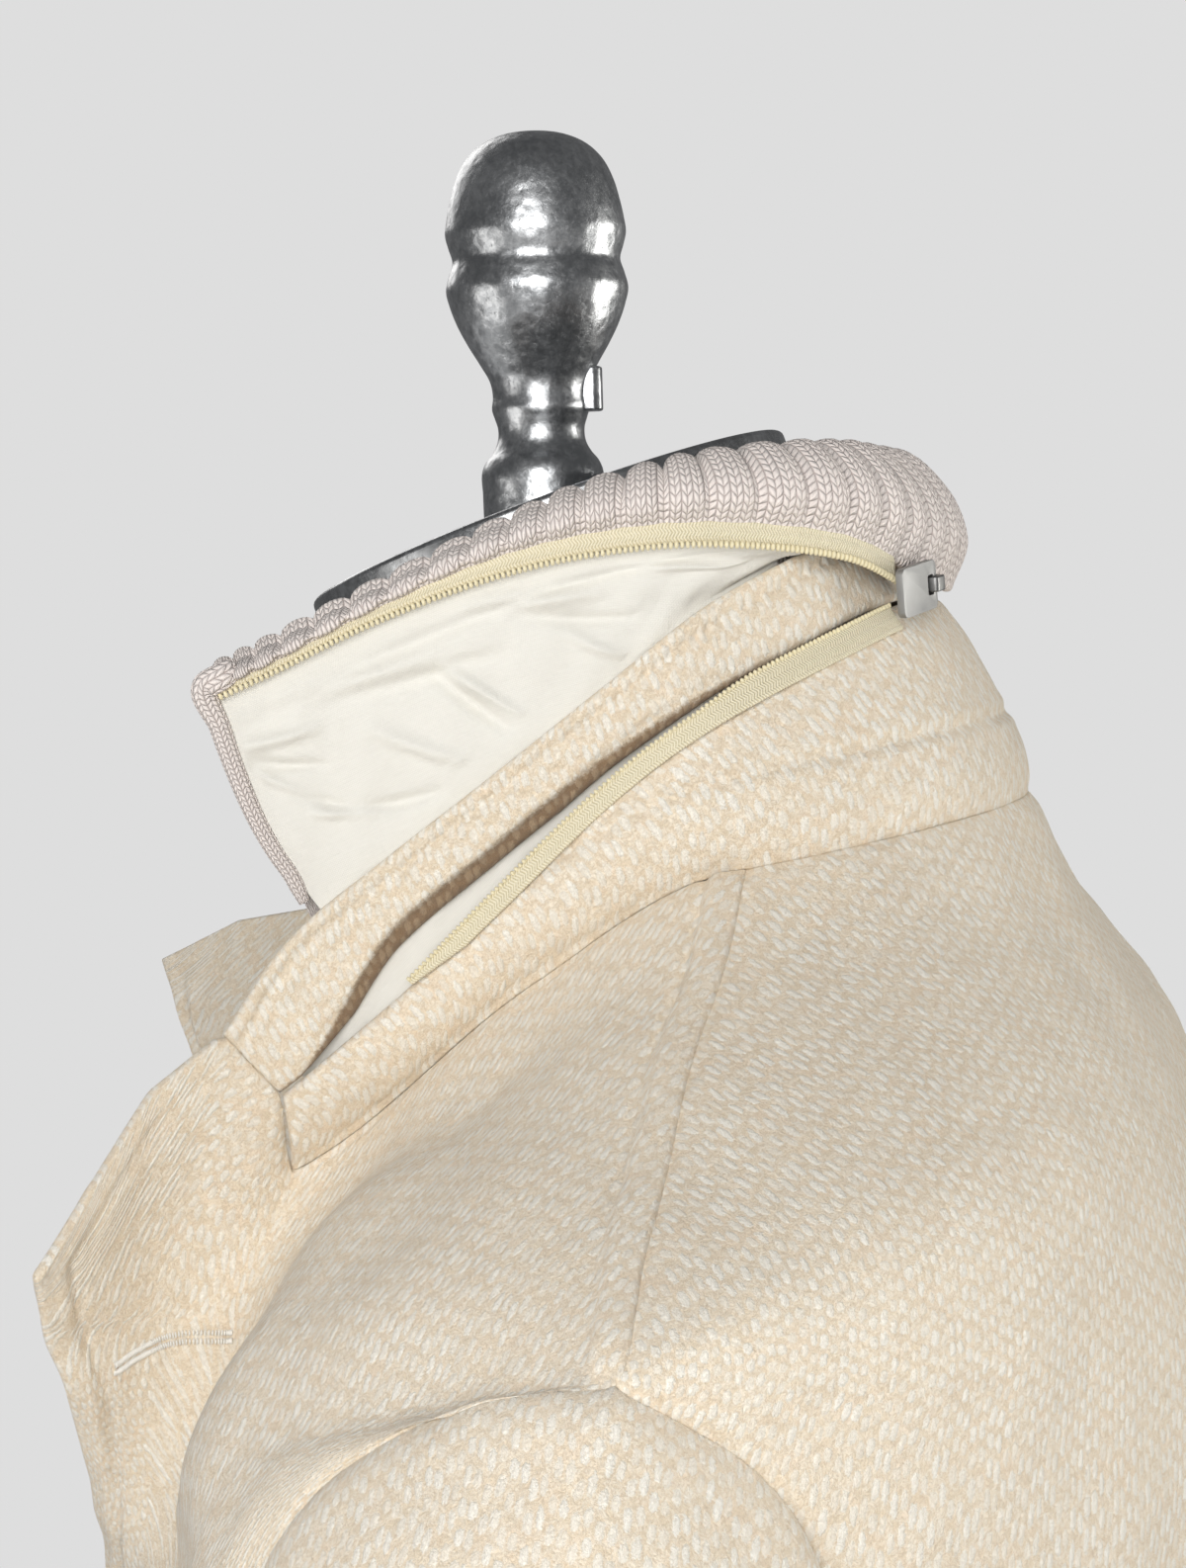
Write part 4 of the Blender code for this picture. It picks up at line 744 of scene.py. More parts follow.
def cloth(name, grid, normal, places, thick, finish, nodes,
          wrap=False, sewn="", gap=0.0):
    """A cloth piece. Its sewn edges (top, bottom, first, last) meet their seams, the others turn."""
    half = thick / 2
    edges = ("top", "bottom", "first", "last")
    reach = [SEAM_ROUND if edge in sewn else half for edge in edges]
    top, bottom, first, last = (SEAM_ROUND - SEAM_LAP if edge in sewn else half + gap for edge in edges)
    extra = np.concatenate([normal, places], axis=-1)
    grid, extra = draw_in(grid, extra, (top, bottom), (0.0, 0.0) if wrap else (first, last))
    normal, places = unit(extra[..., :3]), extra[..., 3:]
    outer, inner, spread = turned_edge(grid, normal, places, thick, reach, not wrap)
    bm = bmesh.new()
    add_grid(bm, outer, spread)
    add_grid(bm, inner, spread, flip=True)
    declare(finish_piece(bm, name, finish, nodes, weld=True))


def close_ring(grid):
    """Repeat the first column at the end, so that the ring closes."""
    return np.concatenate([grid, grid[:, :1]], axis=1)


# -------------------------------------------------------------------------------------- finishes
def maths(operation, *more, swap=False):
    """A method that joins an amount, and another one if there is one, by a maths node."""
    def join(self, *other):
        values = (*other, self) if swap else (self, *other)
        return self.paint.node("ShaderNodeMath", {"operation": operation}, values + more)
    return join


class Amount:
    """A shader socket that takes part in arithmetic."""

    def __init__(self, paint, socket):
        self.paint, self.socket = paint, socket

    __add__ = __radd__ = maths("ADD")
    __sub__, __rsub__ = maths("SUBTRACT"), maths("SUBTRACT", swap=True)
    __mul__ = __rmul__ = maths("MULTIPLY")
    __truediv__, __pow__ = maths("DIVIDE"), maths("POWER")
    __abs__, whole, part = maths("ABSOLUTE"), maths("FLOOR"), maths("FRACT")
    above, equals = maths("MAXIMUM"), maths("COMPARE", 0.1)

    def soft(self, low, high):
        """0 below low, 1 above high, smooth between them."""
        return self.paint.node("ShaderNodeMapRange", {"interpolation_type": "SMOOTHSTEP"},
                               {"Value": self, "From Min": low, "From Max": high})


class Paint:
    """A material, and the nodes that vary it over the surface."""

    def __init__(self, name, **sockets):
        self.made = bpy.data.materials.new(name)
        self.made.use_nodes = True
        self.tree = self.made.node_tree
        self.shader = self.tree.nodes["Principled BSDF"]
        for socket, value in sockets.items():
            self.shader.inputs[socket.replace("_", " ")].default_value = value

    def node(self, kind, settings=None, sockets=(), out=0):
        made = self.tree.nodes.new(kind)
        for setting, value in (settings or {}).items():
            setattr(made, setting, value)
        pairs = sockets.items() if isinstance(sockets, dict) else enumerate(sockets)
        for key, value in pairs:
            self.feed(made.inputs[key], value)
        return Amount(self, made.outputs[out])

    def feed(self, socket, value):
        if isinstance(value, Amount):
            self.tree.links.new(value.socket, socket)
        else:
            socket.default_value = value

    def vector(self, x, y, z=0.0):
        return self.node("ShaderNodeCombineXYZ", None, (x, y, z))

    def across_and_along(self):
        """Place on the cloth: metres across the grain and along it."""
        place = self.node("ShaderNodeUVMap", {"uv_map": "cloth"})
        return self.split(place)

    def split(self, place):
        made = self.tree.nodes.new("ShaderNodeSeparateXYZ")
        self.feed(made.inputs[0], place)
        return [Amount(self, out) for out in made.outputs]

    def in_space(self):
        return self.node("ShaderNodeTexCoord", None, (), "Object")

    def grain(self, place, size, detail=2.0, rough=0.5, twist=0.0):
        """Noise from 0 to 1 over places in metres, its lumps about as big as size in metres."""
        return self.node("ShaderNodeTexNoise", None, {
            "Vector": place, "Scale": 1.0 / size, "Detail": detail, "Roughness": rough,
            "Distortion": twist})

    def chance(self, x, y):
        """A steady random number for each whole x and y."""
        return self.node("ShaderNodeTexWhiteNoise", {"noise_dimensions": "2D"},
                         {"Vector": self.vector(x, y)})

    def blend(self, share, first, second):
        """A mix of two colours: share of the second."""
        made = self.tree.nodes.new("ShaderNodeMix")
        made.data_type = "RGBA"
        for key, value in ((0, share), (6, first), (7, second)):
            if isinstance(value, tuple) and len(value) == 3:
                value = (*value, 1.0)
            self.feed(made.inputs[key], value)
        return Amount(self, made.outputs[2])

    def relief(self, height, metres, strength=1.0, over=None):
        sockets = {"Height": height, "Distance": metres, "Strength": strength}
        if over is not None:
            sockets["Normal"] = over
        return self.node("ShaderNodeBump", None, sockets)

    def finish(self, colour=None, normal=None, roughness=None):
        for key, value in (("Base Color", colour), ("Normal", normal), ("Roughness", roughness)):
            if value is not None:
                self.feed(self.shader.inputs[key], value)
        return self.made


def tone(red, green, blue):
    """A colour given in the usual 0 to 255 numbers, as light."""
    return tuple(((v / 255 + 0.055) / 1.055) ** 2.4 for v in (red, green, blue))


LIP = 4.0                                        # width of the leaf's lip that is turned in
FLOAT_PITCH, FLOAT_REPEAT = 0.0023, 0.0062       # threads across, and one repeat along the grain


def twill_wool(name="wool_twill", lip=False):
    """Thick brushed twill: short cream floats in pairs over a warm ground, under loose tan hairs.

    With a lip, the cloth is painted a dull brown on its left part where it turns in (v under 0): a painted
    shadow for the open slit.
    """
    paint = Paint(name, Roughness=0.95, Sheen_Weight=0.25, Sheen_Roughness=0.55,
                  Specular_IOR_Level=0.18)
    u, v, _ = paint.across_and_along()
    space = paint.in_space()
    sway = paint.grain(space, 0.011, 1.0) - 0.5
    ragged = paint.grain(space, 0.0008, 2.0, 0.7) - 0.5
    frayed = paint.grain(space, 0.00105, 2.0, 0.7, 0.4) - 0.5
    x = (u + sway * 0.0018 + ragged * 0.0013) / FLOAT_PITCH
    y = (v + sway * 0.0030 + frayed * 0.0026) / FLOAT_REPEAT
    column = x.whole()
    which = column - (column / 4).whole() * 4
    y = y + which.equals(1) * 0.86 + which.equals(2) * 0.36 + which.equals(3) * 0.5
    luck = paint.chance(column, y.whole())
    luck_2 = paint.chance(column + 57.3, y.whole())
    aside = abs(x.part() - 0.5) * (2.75 - 0.6 * luck_2)
    ahead = abs(y.part() - 0.5) * (3.4 - 0.8 * luck)
    away = aside ** 2 + ahead ** 3
    body = (1 - away).above(0.0) ** 0.5
    strand = (1.25 - away).soft(0.0, 0.75)
    streak = paint.grain(paint.vector(u * 3.2, v * 0.7), 0.0009, 2.0, 0.6, 0.6)
    fuzz = paint.grain(space, 0.00055, 3.0, 0.65, 0.8)
    tuft = paint.grain(space, 0.0019, 2.0, 0.6, 1.2)
    curl = abs(paint.grain(space, 0.0017, 2.0, 0.6, 1.6) - 0.5)
    curl_2 = abs(paint.grain(space, 0.0013, 2.0, 0.6, 2.2) - 0.48)
    hair, hair_2 = 1 - curl.soft(0.004, 0.03), 1 - curl_2.soft(0.003, 0.024)
    ground = 0.30 + (tuft - 0.5) * 0.5
    height = ((body * (0.55 + 0.2 * luck)).above(ground) + (fuzz - 0.5) * 0.34
              + (streak - 0.5) * 0.14 + hair * 0.10 + hair_2 * 0.12)
    patch = paint.grain(space, 0.045, 2.0)
    warm = paint.grain(space, 0.006, 2.0)
    base = paint.blend(tuft.soft(0.36, 0.66), tone(234, 217, 190), tone(246, 234, 214))
    base = paint.blend(warm.soft(0.45, 0.75) * 0.45, base, tone(242, 219, 190))
    base = paint.blend(hair * 0.5, base, tone(212, 186, 152))
    cream = paint.blend(streak.soft(0.3, 0.7), tone(247, 242, 229), tone(255, 252, 244))
    colour = paint.blend(strand * (0.45 + 0.5 * luck), base, cream)
    colour = paint.blend(hair_2 * 0.32, colour, tone(220, 195, 162))
    colour = paint.blend((patch - 0.5) * 0.3 + 0.1, colour, tone(242, 230, 210))
    colour = paint.blend(fuzz.soft(0.52, 0.8) * 0.25, colour, tone(255, 252, 245))
    if lip:
        # painted shadow: a dull brown band where the leaf's lip turns in, standing for the shade inside
        # the open slit
        from_lip = v + (tuft - 0.5) * 0.0016 + (fuzz - 0.5) * 0.0012
        shade = paint.blend(strand * 0.35, tone(126, 98, 68), tone(186, 160, 124))
        share = (1 - from_lip.soft(-0.0004, 0.0016)) * u.soft(0.06, 0.10) * 0.92
        colour = paint.blend(share, colour, shade)
    return paint.finish(colour, paint.relief(height, 0.0007, 0.8))


STITCH_WIDE, STITCH_LONG = 0.0025, 0.0019        # one knit stitch, in metres


def rib_stitches():
    """Knit: columns of V stitches that run along the ribs."""
    paint = Paint("rib_stitches", Roughness=0.9, Sheen_Weight=0.25, Sheen_Roughness=0.5,
                  Specular_IOR_Level=0.2)
    u, v, _ = paint.across_and_along()
    space = paint.in_space()
    sway = paint.grain(space, 0.006, 1.0) - 0.5
    x = u / STITCH_WIDE
    aside = abs(x.part() - 0.5) * 2
    y = (v + sway * 0.0006) / STITCH_LONG + aside * 0.62
    along = abs(y.part() - 0.5) * 2
    leg = 1 - (abs(aside - 0.52) * 2.0) ** 2.4
    loop = 1 - along ** 2.6
    body = (leg.above(0.0) * loop.above(0.0)) ** 0.6
    fuzz = paint.grain(space, 0.0005, 3.0, 0.65, 0.5)
    ply = abs(((y * 2.0 + x * 2.5)).part() - 0.5) * 2
    height = body + (fuzz - 0.5) * 0.3 + ply * body * 0.14
    # painted shade and highlight: the knit is darker in the gaps between its stitches and lighter on their
    # crowns, following the relief
    colour = paint.blend(body.soft(0.05, 0.65), tone(212, 196, 190), tone(245, 235, 229))
    colour = paint.blend(fuzz.soft(0.5, 0.8) * 0.35, colour, tone(249, 241, 236))
    patch = paint.grain(space, 0.03, 2.0)
    colour = paint.blend((patch - 0.4) * 0.4, colour, tone(234, 219, 212))
    return paint.finish(colour, paint.relief(height, 0.0008, 0.85))


def plain_cotton(name, light, dark, thread=0.00042, relief=0.00012):
    """Close plain weave."""
    paint = Paint(name, Roughness=0.75, Sheen_Weight=0.15, Sheen_Roughness=0.5,
                  Specular_IOR_Level=0.3)
    u, v, _ = paint.across_and_along()
    space = paint.in_space()
    warp = abs((u / thread).part() - 0.5) * 2
    weft = abs((v / thread).part() - 0.5) * 2
    over = (((u / thread).whole() + (v / thread).whole()) / 2).part() * 2
    height = over * (1 - warp ** 2) + (1 - over) * (1 - weft ** 2)
    slub = paint.grain(paint.vector(u * 0.25, v * 3.0), 0.0012, 2.0)
    slub_2 = paint.grain(paint.vector(u * 3.0, v * 0.25), 0.0012, 2.0)
    crease = paint.grain(space, 0.014, 3.0, 0.55, 1.0)
    patch = paint.grain(space, 0.03, 2.0)
    # partly painted shade: darker where the threads dip between crossings; the slubs vary the yarn's own
    # tone
    colour = paint.blend(height * 0.5 + slub * 0.5, dark, light)
    colour = paint.blend((patch - 0.5) * 0.4 + 0.1, colour, dark)
    fine = paint.relief(height * 0.5 + (slub + slub_2) * 0.6, relief, 0.7)
    return paint.finish(colour, paint.relief(crease, 0.0016, 0.5, fine))


def herringbone_tape():
    """Zip tape: narrow herringbone ribs."""
    paint = Paint("zip_tape_weave", Roughness=0.72, Sheen_Weight=0.2, Sheen_Roughness=0.4,
                  Specular_IOR_Level=0.35)
    u, v, _ = paint.across_and_along()
    space = paint.in_space()
    side = abs((v / 0.0024).part() - 0.5) * 2
    rib = abs(((u / 0.00075) + side * 0.9).part() - 0.5) * 2
    fuzz = paint.grain(space, 0.0004, 2.0, 0.6)
    height = rib * 0.8 + side.soft(0.0, 0.25) * 0.4 + fuzz * 0.3
    # painted shade: the tape is darker in the grooves between its herringbone ribs
    colour = paint.blend(rib.soft(0.15, 0.8), tone(208, 196, 160), tone(243, 234, 207))
    colour = paint.blend(fuzz.soft(0.4, 0.7) * 0.4, colour, tone(248, 241, 220))
    return paint.finish(colour, paint.relief(height, 0.00028, 0.9))


def coil_plastic():
    """Moulded zip coil."""
    paint = Paint("zip_coil", Roughness=0.42, Specular_IOR_Level=0.45)
    space = paint.in_space()
    grain = paint.grain(space, 0.0012, 2.0)
    colour = paint.blend(grain, tone(224, 212, 172), tone(240, 231, 200))
    return paint.finish(colour, paint.relief(paint.grain(space, 0.0004, 1.0), 0.00008, 0.5))


def sewing_thread(name, light, dark):
    """Thread with a slanting twist."""
    paint = Paint(name, Roughness=0.6, Sheen_Weight=0.3, Sheen_Roughness=0.4)
    space = paint.in_space()
    x, y, _ = paint.split(space)
    twist = abs(((x + y) / 0.0006).part() - 0.5) * 2
    grain = paint.grain(space, 0.0006, 2.0)
    # partly painted shade: darker in the hollows between the twisted plies; the grain is the thread's own
    # tone
    colour = paint.blend(twist * 0.6 + grain * 0.4, dark, light)
    return paint.finish(colour, paint.relief(twist, 0.0001, 0.6))


def bright_metal(name, light, rough):
    """Plated zip metal, rubbed a little."""
    paint = Paint(name, Metallic=1.0)
    space = paint.in_space()
    smear = paint.grain(space, 0.003, 3.0, 0.6)
    x, y, z = paint.split(space)
    scratch = paint.grain(paint.vector(x, y, z * 9), 0.0012, 3.0, 0.7)
    colour = paint.blend(smear, (light * 0.9,) * 3, (light * 1.04, light * 1.03, light))
    rough_now = smear.soft(0.3, 0.8) * 0.14 + scratch * 0.08 + rough
    return paint.finish(colour, paint.relief(scratch * 0.5 + smear * 0.5, 0.00008, 0.5), rough_now)


def cast_metal_finish(name, light, dark, rough, ripple):
    """Tumbled cast metal: small dents, darker in the hollows, rubbed bright on the high places."""
    paint = Paint(name, Metallic=1.0)
    space = paint.in_space()
    dents = paint.node("ShaderNodeTexVoronoi", {"feature": "SMOOTH_F1"},
                       {"Vector": space, "Scale": 330.0, "Smoothness": 0.8})
    grain = paint.grain(space, 0.0022, 4.0, 0.62, 0.4)
    speck = paint.grain(space, 0.0009, 2.0, 0.7)
    cloud = paint.grain(space, 0.016, 3.0, 0.55)
    wear = (grain * 0.6 + cloud * 0.4).soft(0.36, 0.66)
    colour = paint.blend(wear, dark, light)
    colour = paint.blend(speck.soft(0.62, 0.75) * 0.5, colour, tuple(v * 0.45 for v in dark))
    height = dents * 0.6 + grain * 0.35 + cloud * 1.2
    rough_now = speck.soft(0.45, 0.8) * 0.16 + cloud * 0.10 + rough
    return paint.finish(colour, paint.relief(height, ripple, 0.6), rough_now)


def turned_horn():
    """Polished horn with a cloudy grain."""
    paint = Paint("button_horn_grain", Coat_Weight=0.25, Coat_Roughness=0.15)
    space = paint.in_space()
    x, y, z = paint.split(space)
    streak = paint.grain(paint.vector(x, y, z * 0.25), 0.006, 4.0, 0.6, 2.2)
    fine = paint.grain(space, 0.0012, 3.0, 0.6)
    colour = paint.blend(streak.soft(0.35, 0.68), tone(176, 148, 112), tone(226, 205, 170))
    colour = paint.blend(fine.soft(0.55, 0.8) * 0.35, colour, tone(140, 112, 82))
    return paint.finish(colour, paint.relief(fine, 0.00006, 0.5), fine * 0.14 + 0.24)


# ---------------------------------------------------------------------------------------- pieces
wool = twill_wool()
# the leaf's wool, painted with a dull brown shadow where its lip turns in
leaf_wool_painted_shadow = twill_wool("wool_twill_lip_painted_shadow", True)
ribbing = rib_stitches()
white_lining = plain_cotton("lining_weave", tone(240, 238, 231), tone(220, 217, 208))
form_cover = plain_cotton("form_linen_weave", tone(222, 217, 206), tone(184, 177, 163), 0.0009, 0.0003)
tape_weave = herringbone_tape()
zip_coil = coil_plastic()
cream_thread = sewing_thread("thread_cream", tone(246, 236, 216), tone(214, 194, 164))
white_thread = sewing_thread("thread_white", tone(250, 248, 243), tone(222, 218, 210))
zip_plate = bright_metal("zip_plating", 0.36, 0.40)
slider_plate = bright_metal("slider_plating", 0.26, 0.30)
finial_metal = cast_metal_finish("finial_casting", (0.56, 0.57, 0.58), (0.34, 0.35, 0.36), 0.25, 0.0005)
plate_metal = cast_metal_finish("plate_casting", (0.50, 0.51, 0.52), (0.30, 0.305, 0.31), 0.22, 0.0001)
stand_metal = cast_metal_finish("stand_steel", (0.44, 0.45, 0.46), (0.30, 0.305, 0.31), 0.30, 0.0001)
horn = turned_horn()


SHUT_GAPE = 0.6                                  # between the slit's lips where it is shut
SHUT_FROM, SHUT_OVER = 0.75, 0.19                # stations over which it closes at the front


def open_gape(at):
    """How far the slit stands open: as in the tables, closing softly before its front end."""
    closing = np.clip((at - SHUT_FROM) / SHUT_OVER, 0, 1)
    closing = closing * closing * (3 - 2 * closing)
    return slit_gape(at) * (1 - closing) + SHUT_GAPE * closing


def mirror(grid):
    """A left-hand grid for the right-hand side, its columns reversed so that it still faces out."""
    return grid[:, ::-1] * np.array([-1, 1, 1])[:grid.shape[-1]]


def collar_places():
    """Columns of the collar, on the same points as the top rows of the back and the fronts."""
    side = 3 / (len(COLLAR) - 1)
    back = BACK_ACROSS[BACK_ACROSS >= 0] * side
    front = side + NECK_COLUMNS[1:] / TOP_PLACES[0] * (1 - side)
    half = np.concatenate([back, front])
    return np.concatenate([-half[:0:-1], half])


SIDE_EASE = 22.0                                 # a panel eases to its shared seam over this width


def join_side(front, front_end, back, back_end):
    """Give a front and the back one shared line along the shoulder seam and the side seam."""
    marks = levels()
    sewn = (DOWN <= marks[TIP_ROW]) | (DOWN >= marks[UNDER_ROW])
    shared = 0.5 * (front[sewn, front_end] + back[sewn, back_end])
    for panel, end in ((front, front_end), (back, back_end)):
        edge = panel[sewn, end][:, None]
        fade = np.exp(-(np.linalg.norm(panel[sewn] - edge, axis=-1, keepdims=True) / SIDE_EASE) ** 2)
        panel[sewn] += (shared[:, None] - edge) * fade
        panel[sewn, end] = shared


def step_down(away, place, soft=0.7):
    """1 before a place along the cloth, 0 after it."""
    return 0.5 - 0.5 * np.tanh((away - place) / soft)


def pair(u, v):
    """Places on the cloth at each point: across and along, in millimetres."""
    return np.stack(np.broadcast_arrays(u, v), axis=-1).astype(float)


SEWING = []                                      # rows of stitches to be sewn: points, normals
SINK = 0.15                                      # they lie this deep in the cloth


def sew(grid, normal, rows, columns):
    """Keep the line through a grid at these (fractional) rows and columns, to be sewn later."""
    rows, columns = np.broadcast_arrays(np.asarray(rows, float), np.asarray(columns, float))
    r0 = np.clip(rows.astype(int), 0, grid.shape[0] - 2)
    c0 = np.clip(columns.astype(int), 0, grid.shape[1] - 2)
    fr, fc = (rows - r0)[:, None], (columns - c0)[:, None]

    def read(field):
        return ((1 - fr) * (1 - fc) * field[r0, c0] + (1 - fr) * fc * field[r0, c0 + 1]
                + fr * (1 - fc) * field[r0 + 1, c0] + fr * fc * field[r0 + 1, c0 + 1])

    out = unit(read(normal))
    SEWING.append((read(grid) - out * SINK, out))


def place_at(away, goal):
    """Fractional index along each row of a rising or falling distance where it equals goal."""
    found = []
    for line in away:
        order = np.argsort(line, kind="stable")
        found.append(np.interp(goal, line[order], order.astype(float)))
    return np.array(found)


def sew_row(grid, normal, away, goal, columns):
    """Sew at these (fractional) columns, where a distance up or down the cloth equals goal."""
    rows = np.interp(columns, np.arange(grid.shape[1]), place_at(away.T, goal))
    sew(grid, normal, rows, columns)


def make_body():
    """Back, fronts, sleeves and under-collar on shared seams."""
    back = back_grid(BACK_ACROSS, DOWN)
    left = front_grid(LEFT_ROWS, FRONT_ACROSS, DOWN)
    right = mirror(front_grid(RIGHT_ROWS, FRONT_ACROSS, DOWN))
    sleeve_left = sleeve_grid(LEFT_ROWS, ARM_EACH, SLEEVE_DOWN)
    sleeve_right = mirror(sleeve_grid(RIGHT_ROWS, ARM_EACH, SLEEVE_DOWN))
    join_side(left, 0, back, -1)
    join_side(right, -1, back, 0)
    collar = under_collar(collar_places(), np.linspace(0, 1, 52))
    pieces = [("body", back, -facing(back)), ("body", left, -facing(left)),
              ("body", right, -facing(right)), ("sleeve", sleeve_left, -facing(sleeve_left, True)),
              ("sleeve", sleeve_right, -facing(sleeve_right, True)),
              ("collar", collar, facing(collar))]
    faces = merge_normals(pieces)
    make_back(back, faces[0])
    make_front("front_left", left, faces[1], False)
    make_front("front_right", right, faces[2], True)
    make_sleeve("sleeve_left", sleeve_left, faces[3])
    make_sleeve("sleeve_right", sleeve_right, faces[4])
    make_under_collar(collar, faces[5])


GRAIN_LEAN, LEAN_TO = 0.3, 300                   # the weave leans outwards over the shoulder blades


def make_back(grid, normal):
    """The back, sewn in at the neck and both sides."""
    across, down = lengths(grid)
    side = np.minimum(across, across[:, -1:] - across)
    rise = folds(grid) + seam(side) + seam(down, 0.7) + seam(down[-1:] - down, 0.5, 4.0)
    u = from_column(across)
    lean = GRAIN_LEAN * np.sign(u) * np.minimum(DOWN, LEAN_TO)[:, None]
    cloth("back_cloth", grid + normal * rise[..., None], normal, pair(u - lean, DOWN[:, None]),
          WOOL, wool, ["back"], sewn="top first last")


STRIP, STRIP_END = 8.6, 148                      # lapped strip in front of the shoulder seam
STRIP_SEAM = STRIP + 0.4                         # its row of stitches
EDGE_SEAM = 9.0                                  # sewn this far from the front edge
LAPEL_FROM, LAPEL_END = 14, 150                  # down the cloth, the lapel rolls between these
EDGE_ROLL = 1.3                                  # its edge stands up by this much
HOLLOW, HOLLOW_AT, HOLLOW_WIDE = 3.4, 33, 17     # its hollow: depth, distance from the edge, width
GORGE_END = 0.82                                 # the collar is sewn on up to here
GRAIN_AT = 0.28                                  # the weave runs straight down from here
FAR = 1e3                                        # out of reach of any seam
BUTTONHOLE = ((108, -126, -110), (104, -117, -106), (98, -108, -102))   # worked in the left lapel


def make_front(name, grid, normal, other):
    """A front: lapped at the shoulder, sewn along its edge, with a worked buttonhole."""
    if other:
        grid, normal = mirror(grid), mirror(normal)
    across, down = lengths(grid)
    above_tip = step_down(DOWN, STRIP_END, 4.5)[:, None]
    lapel = (step_down(DOWN, LAPEL_END, 30) * (1 - step_down(DOWN, LAPEL_FROM, 8)))[:, None]
    free = FRONT_ACROSS[None, :] > GORGE_END - 0.001
    edge = np.minimum(across[:, -1:] - across, np.where(free, down, FAR))
    hollow = HOLLOW * np.exp(-((edge - HOLLOW_AT) / HOLLOW_WIDE) ** 2)
    rise = (folds(grid * ([-1, 1, 1] if other else [1, 1, 1])) + seam(across, 0.9)
            + seam(np.where(free, FAR, down), 0.8) + seam(down[-1:] - down, 0.5, 4.0)
            + stitched(edge, EDGE_SEAM, down, 1.3, 1.7) + seam(edge, 0.3, 3.0)
            + lapel * (EDGE_ROLL * step_down(edge, EDGE_SEAM, 1.4) - hollow)
            + above_tip * (1.4 * step_down(across, STRIP) + stitched(across, STRIP_SEAM, down, 1.9, 1.5)))
    made = grid + normal * rise[..., None]
    index = np.arange(len(DOWN))
    row = np.arange(0, len(DOWN) - 1, 0.5)
    deep = np.interp(row, index, DOWN)
    near_tip, below = row[deep < STRIP_END + 2], row[deep > EDGE_SEAM + 1]
    strip = np.interp(near_tip, index, place_at(across, STRIP_SEAM))
    rim = np.interp(below, index, place_at(across[:, -1:] - across, EDGE_SEAM))
    u = from_column(across, np.abs(FRONT_ACROSS - GRAIN_AT).argmin())
    if other:
        made, normal, u, down = mirror(made), mirror(normal), -u[:, ::-1], down[:, ::-1]
        strip, rim = grid.shape[1] - 1 - strip, grid.shape[1] - 1 - rim
    else:
        work_buttonhole(made, normal)
    sew(made, normal, near_tip, strip)
    sew(made, normal, below, rim)
    cloth(name + "_cloth", made, normal, pair(u, down), WOOL, wool, [name],
          sewn="top last" if other else "top first")


def work_buttonhole(grid, normal):
    """Lapel buttonhole: a slit with close stitches over both its lips."""
    line = read_line(np.array(BUTTONHOLE, float), np.linspace(0, 2, 61))
    flat, out = grid.reshape(-1, 3), normal.reshape(-1, 3)
    near = [np.linalg.norm(flat - point, axis=-1).argsort()[:4] for point in line]
    line = np.array([flat[found].mean(axis=0) for found in near])
    facing_out = unit(np.array([out[found].mean(axis=0) for found in near]))
    for k in range(3):
        line[:, k] = np.convolve(np.pad(line[:, k], 6, "edge"), np.full(13, 1 / 13), "valid")
    way = unit(np.gradient(line, axis=0))
    aside = unit(np.cross(facing_out, way))
    up = unit(np.cross(way, aside))
    bm = bmesh.new()
    beads = []
    for lip in (-1, 1):
        for spot, along_it, across_it, rise in zip(line, way, aside, up):
            beads.append((spot + across_it * lip * 0.95 + rise * 0.25, (along_it, across_it, rise),
                          (0.26, 0.85, 0.5)))
    bead(bm, beads)
    finish_piece(bm, "lapel_buttonhole", white_thread, [])


HEAD_AT = 9.0                                    # the sleeve head stands highest this far down


def make_sleeve(name, grid, normal):
    """A sleeve: its head stands up a little from the seam, its cuff is sewn round."""
    grid, normal = close_ring(grid), close_ring(normal)
    across, down = lengths(grid)
    turn = np.linspace(0, 2 * math.pi, grid.shape[1])
    head = (0.5 + 0.5 * np.cos(turn))[None, :]
    cuff = down[-1:] - down
    rise = (folds(grid) + seam(down, 0.7, 2.4) + head * np.exp(-((down - HEAD_AT) / 6.5) ** 2)
            + stitched(cuff, CUFF_SEAM, across, 0.8, 1.5) + seam(cuff, 0.5, 4.0))
    rise[:, -1] = rise[:, 0] = 0.5 * (rise[:, 0] + rise[:, -1])
    level = SLEEVE[0][1]
    first = np.abs(SLEEVE_DOWN - level).argmin()
    v = down - down[first:first + 1] + level
    made = grid + normal * rise[..., None]
    u = np.where(turn[None, :] > math.pi, across - across[:, -1:], across)
    sew(made, normal, place_at(cuff.T[:1], CUFF_SEAM)[0],
        np.linspace(0, grid.shape[1] - 1.001, 2 * grid.shape[1]))
    cloth(name + "_cloth", made, normal, pair(u, v), WOOL, wool, [name],
          wrap=True, sewn="top")


STAND_SEAM, STAND_SEAM_END = 21.0, 0.62          # stitches above the neck seam, up to this station


